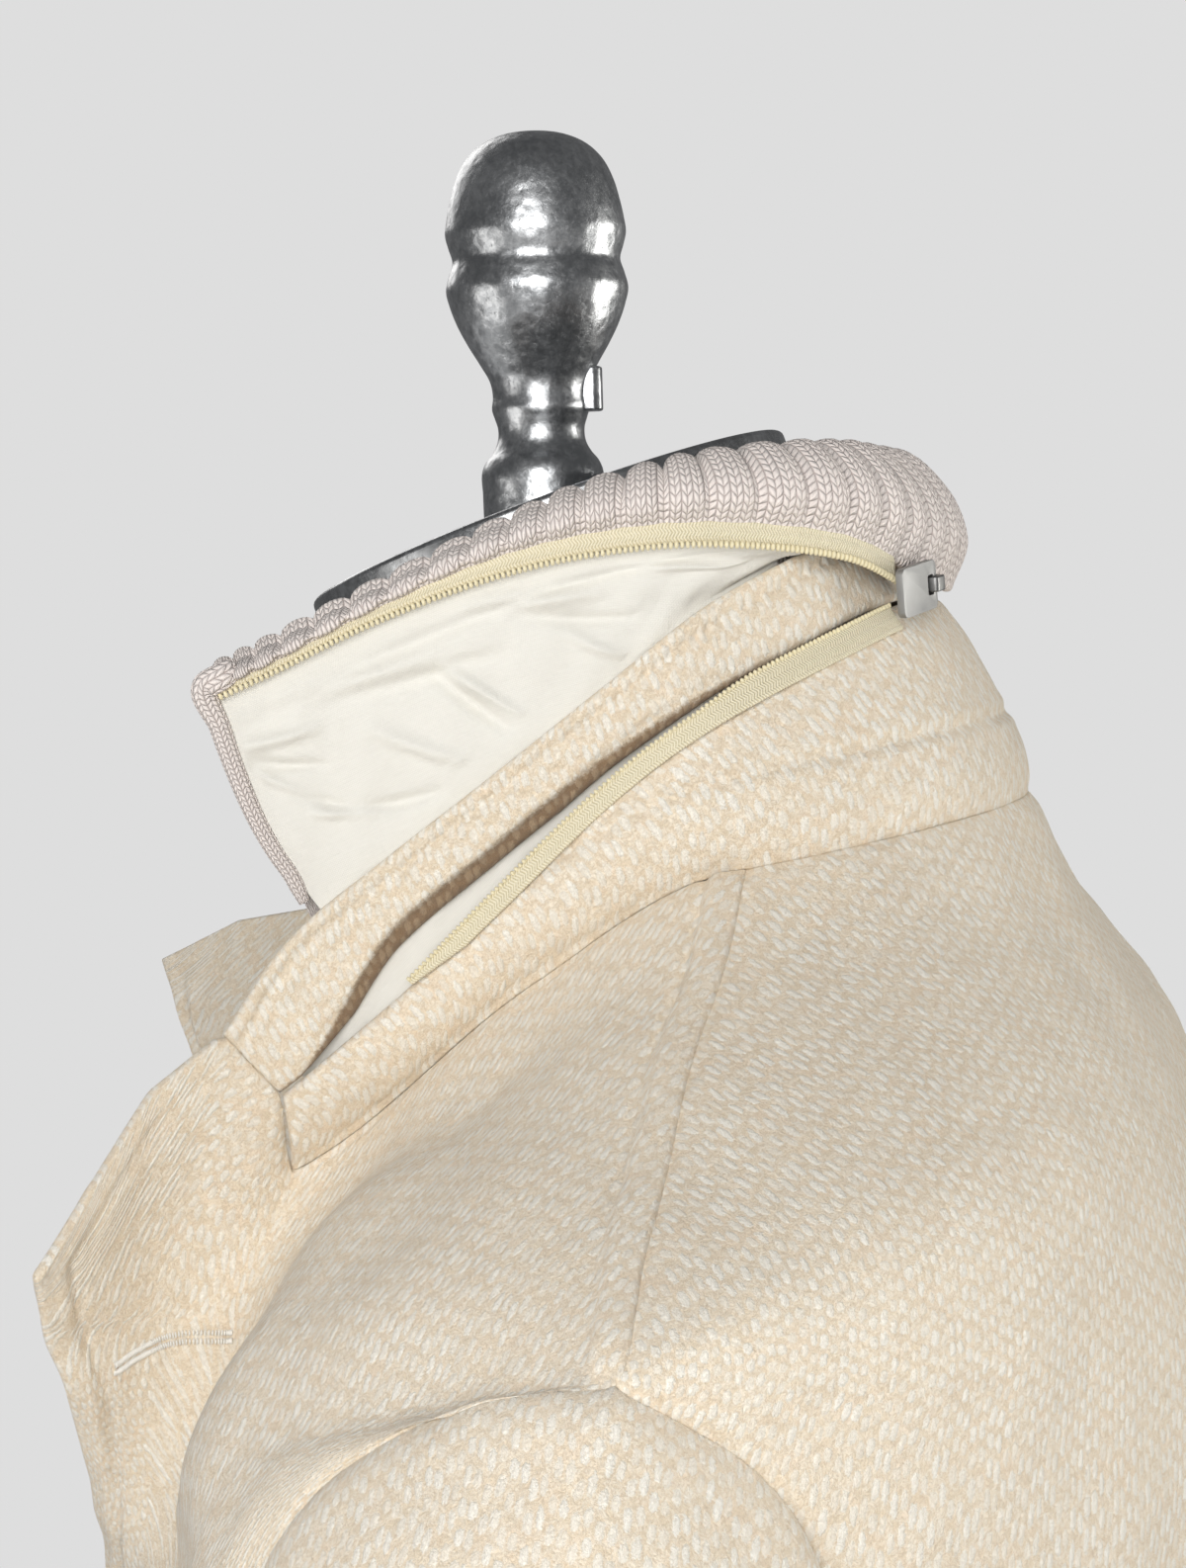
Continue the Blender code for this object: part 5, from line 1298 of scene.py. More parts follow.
def make_under_collar(grid, normal):
    """Under-collar: a row of stitches above the neck seam; it rolls in at both seams."""
    across, up = lengths(grid)
    at = np.abs(collar_places())[None, :]
    left = collar_places()[None, :] > 0
    sewn = step_down(at, STAND_SEAM_END, 0.03)
    high = up[-1:] - up
    rise = (folds(grid) * 0.6 + seam(up, 1.1, 3.0) + seam(high, np.where(left, 0.6, 0.3), 2.4)
            + sewn * stitched(up, STAND_SEAM, across, 1.5, 1.6)
            + 0.7 * np.exp(-((up - 11) / 6) ** 2))
    made = grid + normal * rise[..., None]
    columns = np.nonzero(at[0] < STAND_SEAM_END)[0]
    sew_row(made, normal, up, STAND_SEAM, np.linspace(columns[0], columns[-1], 3 * len(columns)))
    cloth("under_collar_cloth", made, normal, pair(from_column(across), up), WOOL, wool,
          ["under_collar"],
          sewn="top", gap=0.1)


LEAF_SEAM = 4.6                                  # sewn this far below the collar's edge


def make_leaf():
    """Collar leaf: sewn along its edge, its lower lip rolling in where the slit stands open."""
    at = collar_places()
    at = np.unique(np.concatenate([at, 0.5 * (at[1:] + at[:-1])]))
    slit, edge = along(COLLAR, 4, at), along(COLLAR, 8, at)
    gape = open_gape(at)
    lip = np.clip((gape - 1) / 7, 0, 1)
    low = slit + unit(edge - slit) * (gape - LIP * lip)[:, None]
    grid = np.array([low + (edge - low) * v for v in np.linspace(0, 1, 40)])
    normal = facing(grid)
    across, up = lengths(grid)
    high = up[-1:] - up
    rise = (folds(grid) * 0.5 + stitched(high, LEAF_SEAM, across, 1.2, 1.4) + seam(high, 0.25, 2.0)
            - 0.5 * np.exp(-(up / 2.0) ** 2) - 2.0 * lip * step_down(up, LIP + 0.6, 1.1)
            + 0.35 * np.sin(across / 9.0) * np.exp(-((up - 9) / 5) ** 2))
    made = grid + normal * rise[..., None]
    sew_row(made, normal, high, LEAF_SEAM, np.linspace(1, grid.shape[1] - 2, 3 * grid.shape[1]))
    # UV v falls below 0 along the turned-in lip, where the leaf's wool is painted with its shadow
    cloth("collar_leaf_cloth", made, normal, pair(from_column(across), up - LIP * lip), WOOL,
          leaf_wool_painted_shadow, ["collar_leaf"])


FACING_ENDS = (0.30, 0.93)                       # stations of the slit's facing
FACING_IN = 2.6                                  # it lies this far behind the wool
FACING_BELOW, FACING_OVER = 4, 8.5               # under the slit's lower lip, and past both lips


def make_slit_facing():
    """Smooth white facing inside the slit, a little wavy."""
    at = np.linspace(*FACING_ENDS, 100)
    slit, edge = along(COLLAR, 4, at), along(COLLAR, 8, at)
    up, out, reach = unit(edge - slit), plan_normal(slit), open_gape(at)
    share = np.linspace(0, 1, 16)
    rows = []
    for s in share:
        height = s * (reach + FACING_OVER) - FACING_BELOW
        ripple = 0.35 * np.sin(at * 61 + 3 * s) + 0.25 * np.sin(at * 113 + 5 * s)
        rows.append(slit - out * (WOOL + FACING_IN) + up * height[:, None] + out * ripple[:, None] * 0.7)
    grid = np.array(rows)
    across, _ = lengths(grid)
    cloth("slit_facing_cloth", grid, facing(grid), pair(across, share[:, None] * 18.0), LINING,
          white_lining, ["slit_facing"])


KNIT_FROM = -0.955                               # station of the cover's right end
RIB_COLUMNS = 9                                  # columns of the grid to a rib
GROOVE = 1.2                                     # the grooves lie this much lower


def make_knit():
    """Knit cover: fat ribs with deep narrow grooves, folded over the collar's edge."""
    places = np.linspace(KNIT_FROM, 1.0, RIBS * RIB_COLUMNS + 1)
    rows = np.linspace(0, 1, 46)
    plain = cover_fold(places, rows)
    face = facing(plain)
    rib = np.arange(len(places)) / RIB_COLUMNS
    wave = np.abs(np.sin(math.pi * rib)) ** 0.55
    depth = np.minimum(1, 5 * rows + 0.15)[:, None]
    thick = knit_depth(places)
    thin = (thick / KNIT)[None, :]
    uneven = 0.18 * np.sin(rib * 2.3)[None, :] * np.sin(rows * 5)[:, None]
    rise = (wave[None, :] * (RIB_RISE + 1.3) - GROOVE + uneven) * depth * (0.45 + 0.55 * thin)
    bm = bmesh.new()
    add_rim(bm, plain + face * rise[..., None], plain - face * thick[None, :, None],
            pair(rib[None, :] * 10.0, lengths(plain)[1]))
    declare(finish_piece(bm, "knit_cover_ribs", ribbing, ["knit_cover"], weld=True))


def add_rim(bm, outer, inner, places):
    """A wall between two sides whose edges are rounded over by extra rows."""
    middle = 0.5 * (outer + inner)
    half = 0.5 * (outer - inner)
    rows, row_turn, row_sign = turn_ends(outer.shape[0])
    columns, column_turn, column_sign = turn_ends(outer.shape[1])
    size = np.linalg.norm(half, axis=-1, keepdims=True)[rows][:, columns]
    way_down = unit(np.gradient(middle, axis=0))[rows][:, columns]
    way_across = unit(np.gradient(middle, axis=1))[rows][:, columns]
    shift = (way_down * (np.sin(row_turn) * row_sign)[:, None, None]
             + way_across * (np.sin(column_turn) * column_sign)[None, :, None]) * size * 0.7
    lift = (np.cos(row_turn)[:, None] * np.cos(column_turn)[None, :])[..., None]
    centre, reach = middle[rows][:, columns] + shift, half[rows][:, columns] * lift
    spread = places[rows][:, columns]
    add_grid(bm, centre + reach, spread)
    add_grid(bm, centre - reach, spread, flip=True)


def lining_sheet(share, downs, table):
    """Points of the cover's lining: share from the slider to the slanting front edge."""
    known, ends = np.array(table).T
    rows = []
    for down in downs:
        at = LINING_FROM + share * (np.interp(down, known, ends) - LINING_FROM)
        teeth = cover_tables(at)[0]
        edge = along(COLLAR, 8, at)
        inside = edge - plan_normal(edge) * (WOOL + 1.2)
        top = teeth - plan_normal(teeth) * 1.4
        line = top + (inside - top) * min(down, 1)
        line[:, 2] -= max(down - 1, 0) * 10
        rows.append(line)
    return np.array(rows)


CREASE_SCALE, CREASE_RISE = 0.36, 2.6            # height of the lining for its length; creases' rise
LINING_CREASES = (
    # Ends as shares along (0 slider, 1 front) and down (0 zip, 1 collar edge), width, height.
    # s,    d,    s,    d,    wide,  high
    (0.98, 0.15, 0.10, 0.20, 0.014, -0.5),
    (0.97, 0.20, 0.82, 0.30, 0.010,  0.9),
    (0.96, 0.28, 0.84, 0.46, 0.009, -0.8),
    (0.95, 0.34, 0.88, 0.58, 0.008,  0.8),
    (0.93, 0.42, 0.84, 0.72, 0.009, -0.7),
    (0.90, 0.62, 0.80, 0.80, 0.010,  0.9),
    (0.86, 0.70, 0.72, 0.88, 0.012, -0.8),
    (0.84, 0.12, 0.60, 0.30, 0.022,  0.9),
    (0.80, 0.20, 0.52, 0.42, 0.020, -0.8),
    (0.74, 0.44, 0.66, 0.80, 0.013,  0.7),
    (0.62, 0.36, 0.57, 0.82, 0.010, -0.9),
    (0.60, 0.34, 0.54, 0.78, 0.009,  0.8),
    (0.52, 0.10, 0.34, 0.30, 0.020,  0.8),
    (0.46, 0.26, 0.30, 0.60, 0.016, -0.7),
    (0.40, 0.50, 0.34, 0.86, 0.012,  0.6),
    (0.26, 0.16, 0.10, 0.44, 0.016,  0.6),
)


def make_lining():
    """White lining of the cover, softly wrinkled."""
    share = np.linspace(0, 1, 190)
    downs = np.concatenate([np.linspace(0.0, 1.0, 90), np.linspace(1.05, 2.0, 10)])
    grid = lining_sheet(share, downs, LINING_ROWS)
    normal = -facing(grid)
    s, d = share[None, :], downs[:, None]
    free = np.sin(math.pi * np.clip(d, 0, 1)) ** 0.5
    rise = free * (0.35 * np.sin(23 * s + 7 * d) + 0.25 * np.sin(41 * s - 11 * d + 1.0))
    for s0, d0, s1, d1, wide, high in LINING_CREASES:
        way = np.array([s1 - s0, (d1 - d0) * CREASE_SCALE])
        from_end = np.stack(np.broadcast_arrays(s - s0, (d - d0) * CREASE_SCALE), axis=-1)
        reached = np.clip(from_end @ way / (way @ way), 0, 1)
        away = np.linalg.norm(from_end - reached[..., None] * way, axis=-1)
        swell = CREASE_RISE * high * np.sin(math.pi * (0.12 + 0.76 * reached))
        rise = rise + swell * np.exp(-(away / wide) ** 2)
    cloth("cover_lining_cloth", grid + normal * rise[..., None], normal, pair(*lengths(grid)), LINING,
          white_lining, ["cover_lining"])


BINDING_STITCHES = 7                             # columns of stitches round the roll


def make_binding():
    """Knit end of the cover: a roll from the corner of its fold down its slanting front edge."""
    downs = np.linspace(BINDING_ROWS[0][0] - 0.06, 1.04, 60)
    sheet = lining_sheet(np.array([0.97, 1.0]), downs, BINDING_ROWS)
    outward = unit(sheet[:, 1] - sheet[:, 0])
    low = np.clip((downs - downs[0]) / (downs[-1] - downs[0]), 0, 1)[:, None]
    edge = sheet[:, 1] + outward * (0.9 - 0.5 * low)
    fold = cover_fold(np.array([0.955, 0.975, 0.99]), np.array([0.36, 0.5, 0.62]))
    corner = np.array([fold[1, 0], fold[0, 1], fold[0, 2] + (0, -2.2, -1.5)])
    knots = np.concatenate([corner, edge[4::8]])
    run = run_along(knots)
    down = np.linspace(0, run[-1], 150)
    line = spline(run, knots, down)
    size = np.interp(down, (0, 3, 9, 18, run[-1] - 4, run[-1]), (1.2, 2.9, 3.1, 2.3, 1.7, 1.2))
    out = plan_normal(edge).mean(axis=0)
    way = unit(np.gradient(line, axis=0))
    aside = unit(np.cross(out, way))
    rise = unit(np.cross(way, aside))
    turn = np.linspace(0, 2 * math.pi, 33)
    ribs = 1 + 0.10 * np.abs(np.sin(2.0 * turn)) ** 0.6
    ring = ((np.cos(turn) * ribs)[None, :, None] * aside[:, None]
            + (np.sin(turn) * ribs)[None, :, None] * rise[:, None])
    round_it = turn[None, :] / (2 * math.pi) * BINDING_STITCHES * STITCH_WIDE * 1000
    bm = bmesh.new()
    add_grid(bm, line[:, None] + ring * size[:, None, None], pair(round_it, 1.5 * down[:, None]))
    close_ends(bm)
    finish_piece(bm, "knit_binding_ribs", ribbing, ["knit_binding"], weld=True)


def close_ends(bm):
    """Weld a wrapped grid's last column to its first, and close both its ends."""
    bmesh.ops.remove_doubles(bm, verts=bm.verts[:], dist=WELD)
    bmesh.ops.holes_fill(bm, edges=[edge for edge in bm.edges if edge.is_boundary], sides=0)
    bmesh.ops.recalc_face_normals(bm, faces=bm.faces[:])


def even_places(line, pitch):
    """Fractional indices that stand evenly along a line, and how far apart they are."""
    run = run_along(line)
    count = max(2, int(run[-1] / pitch))
    goals = (np.arange(count) + 0.5) * run[-1] / count
    return np.interp(goals, run, np.arange(len(line))), run[-1] / count


def read_line(field, at):
    """A field along a line, read at fractional indices."""
    return np.stack([np.interp(at, np.arange(len(field)), field[:, k]) for k in range(3)], axis=-1)


def bead(bm, places):
    """One small rounded bar for each (middle, half length, half width, half height) with its axes."""
    for middle, ways, sizes in places:
        size = Matrix.Diagonal((*[s / 1000 for s in sizes], 1.0))
        turn = Matrix(np.stack(ways, axis=1).tolist()).to_4x4()
        place = Matrix.Translation(Vector(world(middle))) @ turn @ size
        bmesh.ops.create_icosphere(bm, subdivisions=1, radius=1.0, matrix=place)


def make_sewing():
    """Every row of stitches, thread by thread."""
    bm = bmesh.new()
    for line, out in SEWING:
        at, pitch = even_places(line, STITCH_PITCH)
        spots, outs = read_line(line, at), unit(read_line(out, at))
        ways = unit(np.gradient(spots, axis=0))
        beads = []
        for spot, way, normal in zip(spots, ways, outs):
            across = unit(np.cross(normal, way))
            up = unit(np.cross(way, across))
            beads.append((spot - up * 0.45, (way, across, up), (pitch * 0.40, 0.34, 0.30)))
        bead(bm, beads)
    finish_piece(bm, "top_stitching", cream_thread, [])


def zip_tape(name, grid, out, thick, node):
    """A woven tape over a grid of points, facing outwards."""
    normal = facing(grid)
    if np.sum(normal * out[None]) < 0:
        normal = -normal
    cloth(name, grid, normal, pair(*lengths(grid)), thick, tape_weave, [node])


def coil(bm, line, up, out, tall, wide):
    """Zip coil: rounded teeth side by side along the line."""
    at, pitch = even_places(line, COIL_PITCH)
    spots, ups, outs = read_line(line, at), unit(read_line(up, at)), unit(read_line(out, at))
    ways = unit(np.gradient(spots, axis=0))
    beads = []
    for spot, way, rise, off in zip(spots, ways, ups, outs):
        off = unit(np.cross(way, rise)) * np.sign(np.sum(np.cross(way, rise) * off))
        rise = unit(np.cross(off, way)) * np.sign(np.sum(np.cross(off, way) * rise))
        if np.linalg.det(np.stack([way, rise, off])) < 0:
            way = -way
        beads.append((spot, (way, rise, off), (pitch * 0.44, tall / 2, wide / 2)))
    bead(bm, beads)


TAPE_TOP = 1.4                                   # the collar's tape stands over the slit's lower lip


def make_tapes():
    """The two zip tapes with their coils: one under the cover, one on the under-collar."""
    at = np.linspace(TAPE_FROM, COVER_TAPE_END, 150)
    teeth, rise, _, _, _ = cover_tables(at)
    out = plan_normal(teeth)
    up = np.broadcast_to(np.array([0, 0, 1.0]), teeth.shape)
    line = teeth + out * (TAPE_THICK / 2)
    share = np.linspace(0, 1, 9)[:, None, None]
    height = (rise + 0.6)[:, None] * share - 0.2
    zip_tape("zip_tape_cover_weave", line - out * 0.45 + up * height + out * (share * (1 - share)), out,
             TAPE_THICK * 0.6, "zip_tape_cover")
    bm = bmesh.new()
    coil(bm, line - up * 0.55 + out * 0.15, up, out, 2.1, 1.7)
    at = np.linspace(TAPE_NEAR, TAPE_END, 140)
    deep = np.linalg.norm(along(COLLAR, 4, at) - neck_line(at), axis=-1)[:, None]
    narrow = np.interp(at, (TAPE_FROM, 0.3, 0.5, 0.68, TAPE_END), (1.0, 0.85, 0.7, 0.6, 0.1))
    wide = TAPE_WIDE * narrow[:, None]
    shut = np.interp(at, (0.24, 0.34, 0.40), (1.0, 0.8, 0.0))[:, None]
    top = TAPE_TOP + shut * (slit_gape(at)[:, None] - TAPE_TOP)
    rows = under_collar(at, [1 - wide / deep, 1 - 0.4 * wide / deep, 1 + top / deep])
    out = plan_normal(rows[-1])
    grid = np.where(share < 0.5, rows[0] + (rows[1] - rows[0]) * 2 * share,
                    rows[1] + (rows[2] - rows[1]) * (2 * share - 1))
    grid = grid + out * (LAY + TAPE_THICK * 0.75)
    zip_tape("zip_tape_collar_weave", grid, out, TAPE_THICK * 0.7, "zip_tape_collar")
    upward = unit(rows[2] - rows[1])
    tall = np.interp(at, (TAPE_FROM, 0.42, 0.5), (2.0, 1.5, 1.0)).mean()
    coil(bm, grid[-1] + out * 0.1 - upward * 0.3, upward, out, tall, 1.5)
    finish_piece(bm, "zip_coils", zip_coil, [])


def zip_frame():
    """Middle of the slider on the cloth, the way along the zip, out of the cloth and across it."""
    at = SLIDER_AT + np.array([-0.02, 0, 0.02])
    slit = along(COLLAR, 4, at)
    along_zip = unit(slit[2] - slit[0])
    out = plan_normal(slit)[1]
    across = unit(np.cross(along_zip, out))
    across *= np.sign(across[2])
    middle = slit[1] + out * SLIDER_OFF + np.array([0, 0, SLIDER_UP])
    return middle, along_zip, unit(np.cross(across, along_zip)), across


def zip_matrix(back, rise):
    """Place with X along the zip, Y across it and Z out of the cloth."""
    middle, along_zip, out, across = zip_frame()
    point = world(middle - along_zip * back + out * rise)
    turn = Matrix(np.stack([along_zip, across, out], axis=1).tolist()).to_4x4()
    if turn.determinant() < 0:
        turn = Matrix(np.stack([along_zip, -across, out], axis=1).tolist()).to_4x4()
    return Matrix.Translation(Vector(point)) @ turn


def pour(part, place, bm):
    """Move a finished part to its place and add it to a piece."""
    bmesh.ops.transform(part, matrix=place, verts=part.verts[:])
    mesh = bpy.data.meshes.new("part")
    part.to_mesh(mesh)
    part.free()
    bm.from_mesh(mesh)
    bpy.data.meshes.remove(mesh)


def plate(bm, outline, low, high, place, bevel, hole=(), segments=3):
    """A flat piece with rounded edges: an outline in millimetres, extruded, maybe with a window."""
    part = bmesh.new()
    edges = []
    for loop in (outline, hole):
        verts = [part.verts.new((x / 1000, y / 1000, low / 1000)) for x, y in loop]
        edges += [part.edges.new((verts[k - 1], verts[k])) for k in range(len(verts))]
    bmesh.ops.triangle_fill(part, use_beauty=True, use_dissolve=True, edges=edges)
    raised = bmesh.ops.extrude_face_region(part, geom=part.faces[:], use_keep_orig=True)["geom"]
    lift = [item for item in raised if isinstance(item, bmesh.types.BMVert)]
    bmesh.ops.translate(part, vec=(0, 0, (high - low) / 1000), verts=lift)
    bmesh.ops.recalc_face_normals(part, faces=part.faces[:])
    rim = [edge for edge in part.edges if edge.calc_face_angle(0) > 0.3]
    bmesh.ops.bevel(part, geom=rim, offset=bevel / 1000, segments=segments, profile=0.5,
                    affect="EDGES", material=-1, clamp_overlap=True)
    pour(part, place, bm)


def rounded(half_long, half_wide, corner, shift=0.0, steps=5):
    """Outline of a rounded rectangle."""
    points = []
    for cx, cy, first in ((1, 1, 0), (-1, 1, 90), (-1, -1, 180), (1, -1, 270)):
        for k in range(steps + 1):
            a = math.radians(first + 90 * k / steps)
            points.append((shift + cx * (half_long - corner) + corner * math.cos(a),
                           cy * (half_wide - corner) + corner * math.sin(a)))
    return points


def make_slider():
    """Slider with its bridge, and the bare pull plate hanging from it."""
    half_long, half_wide = SLIDER_LONG / 2, SLIDER_WIDE / 2
    bm = bmesh.new()
    body = [(half_long, half_wide), (half_long * 0.2, half_wide), (-half_long, half_wide * 0.6),
            (-half_long, -half_wide * 0.6), (half_long * 0.2, -half_wide), (half_long, -half_wide)]
    plate(bm, body, LAY, LAY + 1.1, zip_matrix(0, 0), 0.4)
    plate(bm, body, LAY + 2.0, LAY + SLIDER_THICK, zip_matrix(0, 0), 0.4)
    plate(bm, rounded(half_long * 0.35, 1.2, 0.5, -half_long * 0.5), LAY + 0.6, LAY + 2.6,
          zip_matrix(0, 0), 0.2)
    upright = Matrix.Rotation(math.pi / 2, 4, "X")
    plate(bm, ARCH, -ARCH_WIDE / 2, ARCH_WIDE / 2, zip_matrix(HINGE_BACK, 0) @ upright, 0.45,
          segments=4)
    finish_piece(bm, "zip_slider_plated", slider_plate, ["zip_slider"], sharp=40)
    bm = bmesh.new()
    tab = rounded((TAB_LONG + BAR / 2) / 2, TAB_WIDE / 2, 1.7, (TAB_LONG - BAR / 2) / 2)
    window = rounded((WINDOW_END - BAR / 2) / 2, WINDOW_HALF, 0.7, (WINDOW_END + BAR / 2) / 2)
    plate(bm, tab, -BAR / 2, BAR / 2, zip_matrix(HINGE_BACK, HINGE_RISE), 0.5, window, 4)
    finish_piece(bm, "zip_pull_plated", zip_plate, ["zip_pull"], "pull", sharp=40)


def turned(bm, profile, sides, place=Matrix.Identity(4)):
    """A solid of revolution about +Z from (height, radius) pairs."""
    part = bmesh.new()
    points = [Vector((radius / 1000, 0, height / 1000)) for height, radius in profile]
    if profile[0][1] > 0:
        points.insert(0, Vector((0, 0, profile[0][0] / 1000)))
    if profile[-1][1] > 0:
        points.append(Vector((0, 0, profile[-1][0] / 1000)))
    verts = [part.verts.new(point) for point in points]
    edges = [part.edges.new(ends) for ends in zip(verts, verts[1:])]
    bmesh.ops.spin(part, geom=verts + edges, cent=(0, 0, 0), axis=(0, 0, 1), angle=2 * math.pi,
                   steps=sides, use_merge=True)
    bmesh.ops.remove_doubles(part, verts=part.verts[:], dist=0.00001)
    bmesh.ops.recalc_face_normals(part, faces=part.faces[:])
    pour(part, place, bm)


def smooth_profile(profile, steps=6):
    """A finer profile through the same points."""
    values = np.array(profile, float)
    run = run_along(values)
    fine = np.unique(np.concatenate([np.linspace(a, b, steps, endpoint=False)
                                     for a, b in zip(run, run[1:])] + [run[-1:]]))
    line = spline(run, values, fine, end=np.array([0.0, -1.0]))
    line[:, 1] = np.maximum(line[:, 1], 0)
    return [tuple(point) for point in line]


def at_point(point, turn=Matrix.Identity(4)):
    return Matrix.Translation(Vector(world(point))) @ turn


def make_stand():
    """Neck plate, finial with its key, pole and round base."""
    tilt = Matrix.Rotation(PLATE_TILT, 4, "X")
    bm = bmesh.new()
    flat, turn = PLATE_RADIUS - PLATE_EDGE, np.linspace(0, math.pi / 2, 5)
    edge = [(-PLATE_THICK + PLATE_EDGE * (1 - math.cos(a)), flat + PLATE_EDGE * math.sin(a))
            for a in turn]
    edge += [(-PLATE_EDGE + PLATE_EDGE * math.sin(a), flat + PLATE_EDGE * math.cos(a)) for a in turn]
    turned(bm, [(-PLATE_THICK, 0)] + edge + [(0, 40), (0, 0)], 128, at_point(PLATE_AT, tilt))
    finish_piece(bm, "neck_plate_cast", plate_metal, ["neck_plate"], sharp=50)

    axis = np.add(PLATE_AT, (0, FINIAL_SHIFT, 0))
    bm = bmesh.new()
    turned(bm, smooth_profile(FINIAL), 96, at_point(axis))
    above = tilt @ Vector((0, 0, GAP / 1000))
    cut = bmesh.ops.bisect_plane(bm, geom=bm.verts[:] + bm.edges[:] + bm.faces[:], dist=1e-7,
                                 plane_co=Vector(world(PLATE_AT)) + above, plane_no=above,
                                 clear_inner=True)["geom_cut"]
    rim = [item for item in cut if isinstance(item, bmesh.types.BMEdge)]
    bmesh.ops.contextual_create(bm, geom=rim)
    key = [(3, LUG_OUT - 1.5), (1.5, LUG_OUT), (-1.5, LUG_OUT), (-3, LUG_OUT - 1.5),
           (-3, LUG_IN), (3, LUG_IN)]
    plate(bm, key, LUG_LOW, LUG_HIGH, at_point(axis), 0.7)
    finish_piece(bm, "finial_cast", finial_metal, ["finial"], sharp=42)

    foot, top = BASE_THICK + GAP, NECK_HEIGHT + FORM_ROWS[-1][3] - GAP
    pole = [(foot, POLE_FOOT - 0.6), (foot + 0.6, POLE_FOOT), (foot + 8.5, POLE_FOOT),
            (foot + 10.5, POLE_FOOT - 2.0), (foot + 12, POLE_FOOT - 6), (foot + 15, POLE_RADIUS + 3.4),
            (foot + 20, POLE_RADIUS + 1.0), (foot + 26, POLE_RADIUS), (top, POLE_RADIUS)]
    base = [(0, BASE_RADIUS - 1.5), (1.2, BASE_RADIUS), (BASE_THICK - 5, BASE_RADIUS),
            (BASE_THICK - 3, BASE_RADIUS - 0.8), (BASE_THICK - 1.4, BASE_RADIUS - 2.6),
            (BASE_THICK - 0.4, BASE_RADIUS - 6), (BASE_THICK, BASE_RADIUS - 10), (BASE_THICK, 60)]
    for node, profile, sides in (("pole", pole, 72), ("base", base, 160)):
        bm = bmesh.new()
        turned(bm, profile, sides)
        finish_piece(bm, node + "_steel", stand_metal, [node], sharp=45)


def make_form():
    """Torso of the form, covered in linen, with a seam down the middle of front and back."""
    steps = 30
    ring = [plate_ring(PLATE_RADIUS - 2, PLATE_THICK + GAP, steps)]
    table = np.array(ring + [form_ring(row, steps) for row in FORM_ROWS])
    steps_down = np.linalg.norm(np.diff(table, axis=0), axis=-1).mean(axis=1)
    marks = np.concatenate([[0], np.cumsum(steps_down)])
    down = np.unique(np.concatenate([marks, np.arange(0, marks[-1], 7.0)]))
    grid = close_ring(spline(marks, table, down))
    normal = -facing(grid)
    rise = seam(grid[..., 0], 0.5, 1.6)
    bm = bmesh.new()
    add_grid(bm, grid + normal * rise[..., None], pair(*lengths(grid)))
    close_ends(bm)
    torso = finish_piece(bm, "form_torso_linen", form_cover, ["form_torso"], sharp=60,
                         weld=True)


def make_buttons():
    """Four-hole horn buttons, sewn on with crossed threads, on points of the left front."""
    marks = np.concatenate([down_steps(0, UNDER_ROW, 2), down_steps(UNDER_ROW, LAST_ROW, 3)[1:]])
    columns = np.concatenate([np.linspace(0, TOP_PLACES[0], 8), TOP_PLACES[1:]])
    grid = front_grid(LEFT_ROWS, columns, marks)
    face = -facing(grid)
    lift = folds(grid)
    threads = bmesh.new()
    for k, (across, down) in enumerate(BUTTONS, 1):
        row = np.abs(marks - down).argmin()
        column = np.abs(columns - across).argmin()
        out = face[row, column]
        turn = Vector(out).to_track_quat("Z", "Y").to_matrix().to_4x4()
        rise = LAY + max(0.0, lift[row, column])
        place = at_point(grid[row, column] + out * rise, turn)
        bm = bmesh.new()
        turned(bm, BUTTON, 56, place)
        for x, y in ((1, 1), (1, -1), (-1, 1), (-1, -1)):
            spot = place @ Matrix.Translation((x * 0.0024, y * 0.0024, 0.00435))
            bmesh.ops.create_cone(threads, segments=14, radius1=0.0012, radius2=0.0010, depth=0.0004,
                                  cap_ends=True, matrix=spot)
        for angle in (45, -45):
            crossed = Matrix.Rotation(math.radians(angle), 4, "Z")
            spot = (place @ Matrix.Translation((0, 0, 0.0047)) @ crossed
                    @ Matrix.Diagonal((0.0036, 0.0005, 0.0005, 1)))
            bmesh.ops.create_icosphere(threads, subdivisions=2, radius=1.0, matrix=spot)
        finish_piece(bm, f"button_{k}_horn", horn, [f"button_{k}"], sharp=50)
    finish_piece(threads, "button_threads", cream_thread, [])


WELT_SEAM = 5.5                                  # sewn this far inside a welt's edges


def make_pockets():
    """Pocket welts on the fronts, sewn round their edges."""
    wide = np.linspace(*POCKET_ACROSS, 22)
    deep = np.linspace(*POCKET_DOWN, 60)
    for name, table in (("pocket_left", LEFT_ROWS), ("pocket_right", RIGHT_ROWS)):
        grid = front_grid(table, wide, deep)
        normal = -facing(grid)
        swap = np.array([-1, 1, 1]) if name == "pocket_right" else np.ones(3)
        rise = folds(grid * swap) + LAY + WELT_THICK
        across, down = lengths(grid)
        edge = np.min([across, across[:, -1:] - across, down, down[-1:] - down], axis=0)
        rise = rise + stitched(edge, WELT_SEAM, down, 0.5, 1.2) + seam(edge, 0.3, 2.0)
        made = grid + normal * rise[..., None]
        if name == "pocket_right":
            made, normal, across = mirror(made), mirror(normal), -across[:, ::-1]
        for column in (2.9, 18.1):
            sew(made, normal, np.linspace(2.2, 56.8, 140), column)
        cloth(name + "_welt", made, normal, pair(across, down), WELT_THICK, wool, [name])


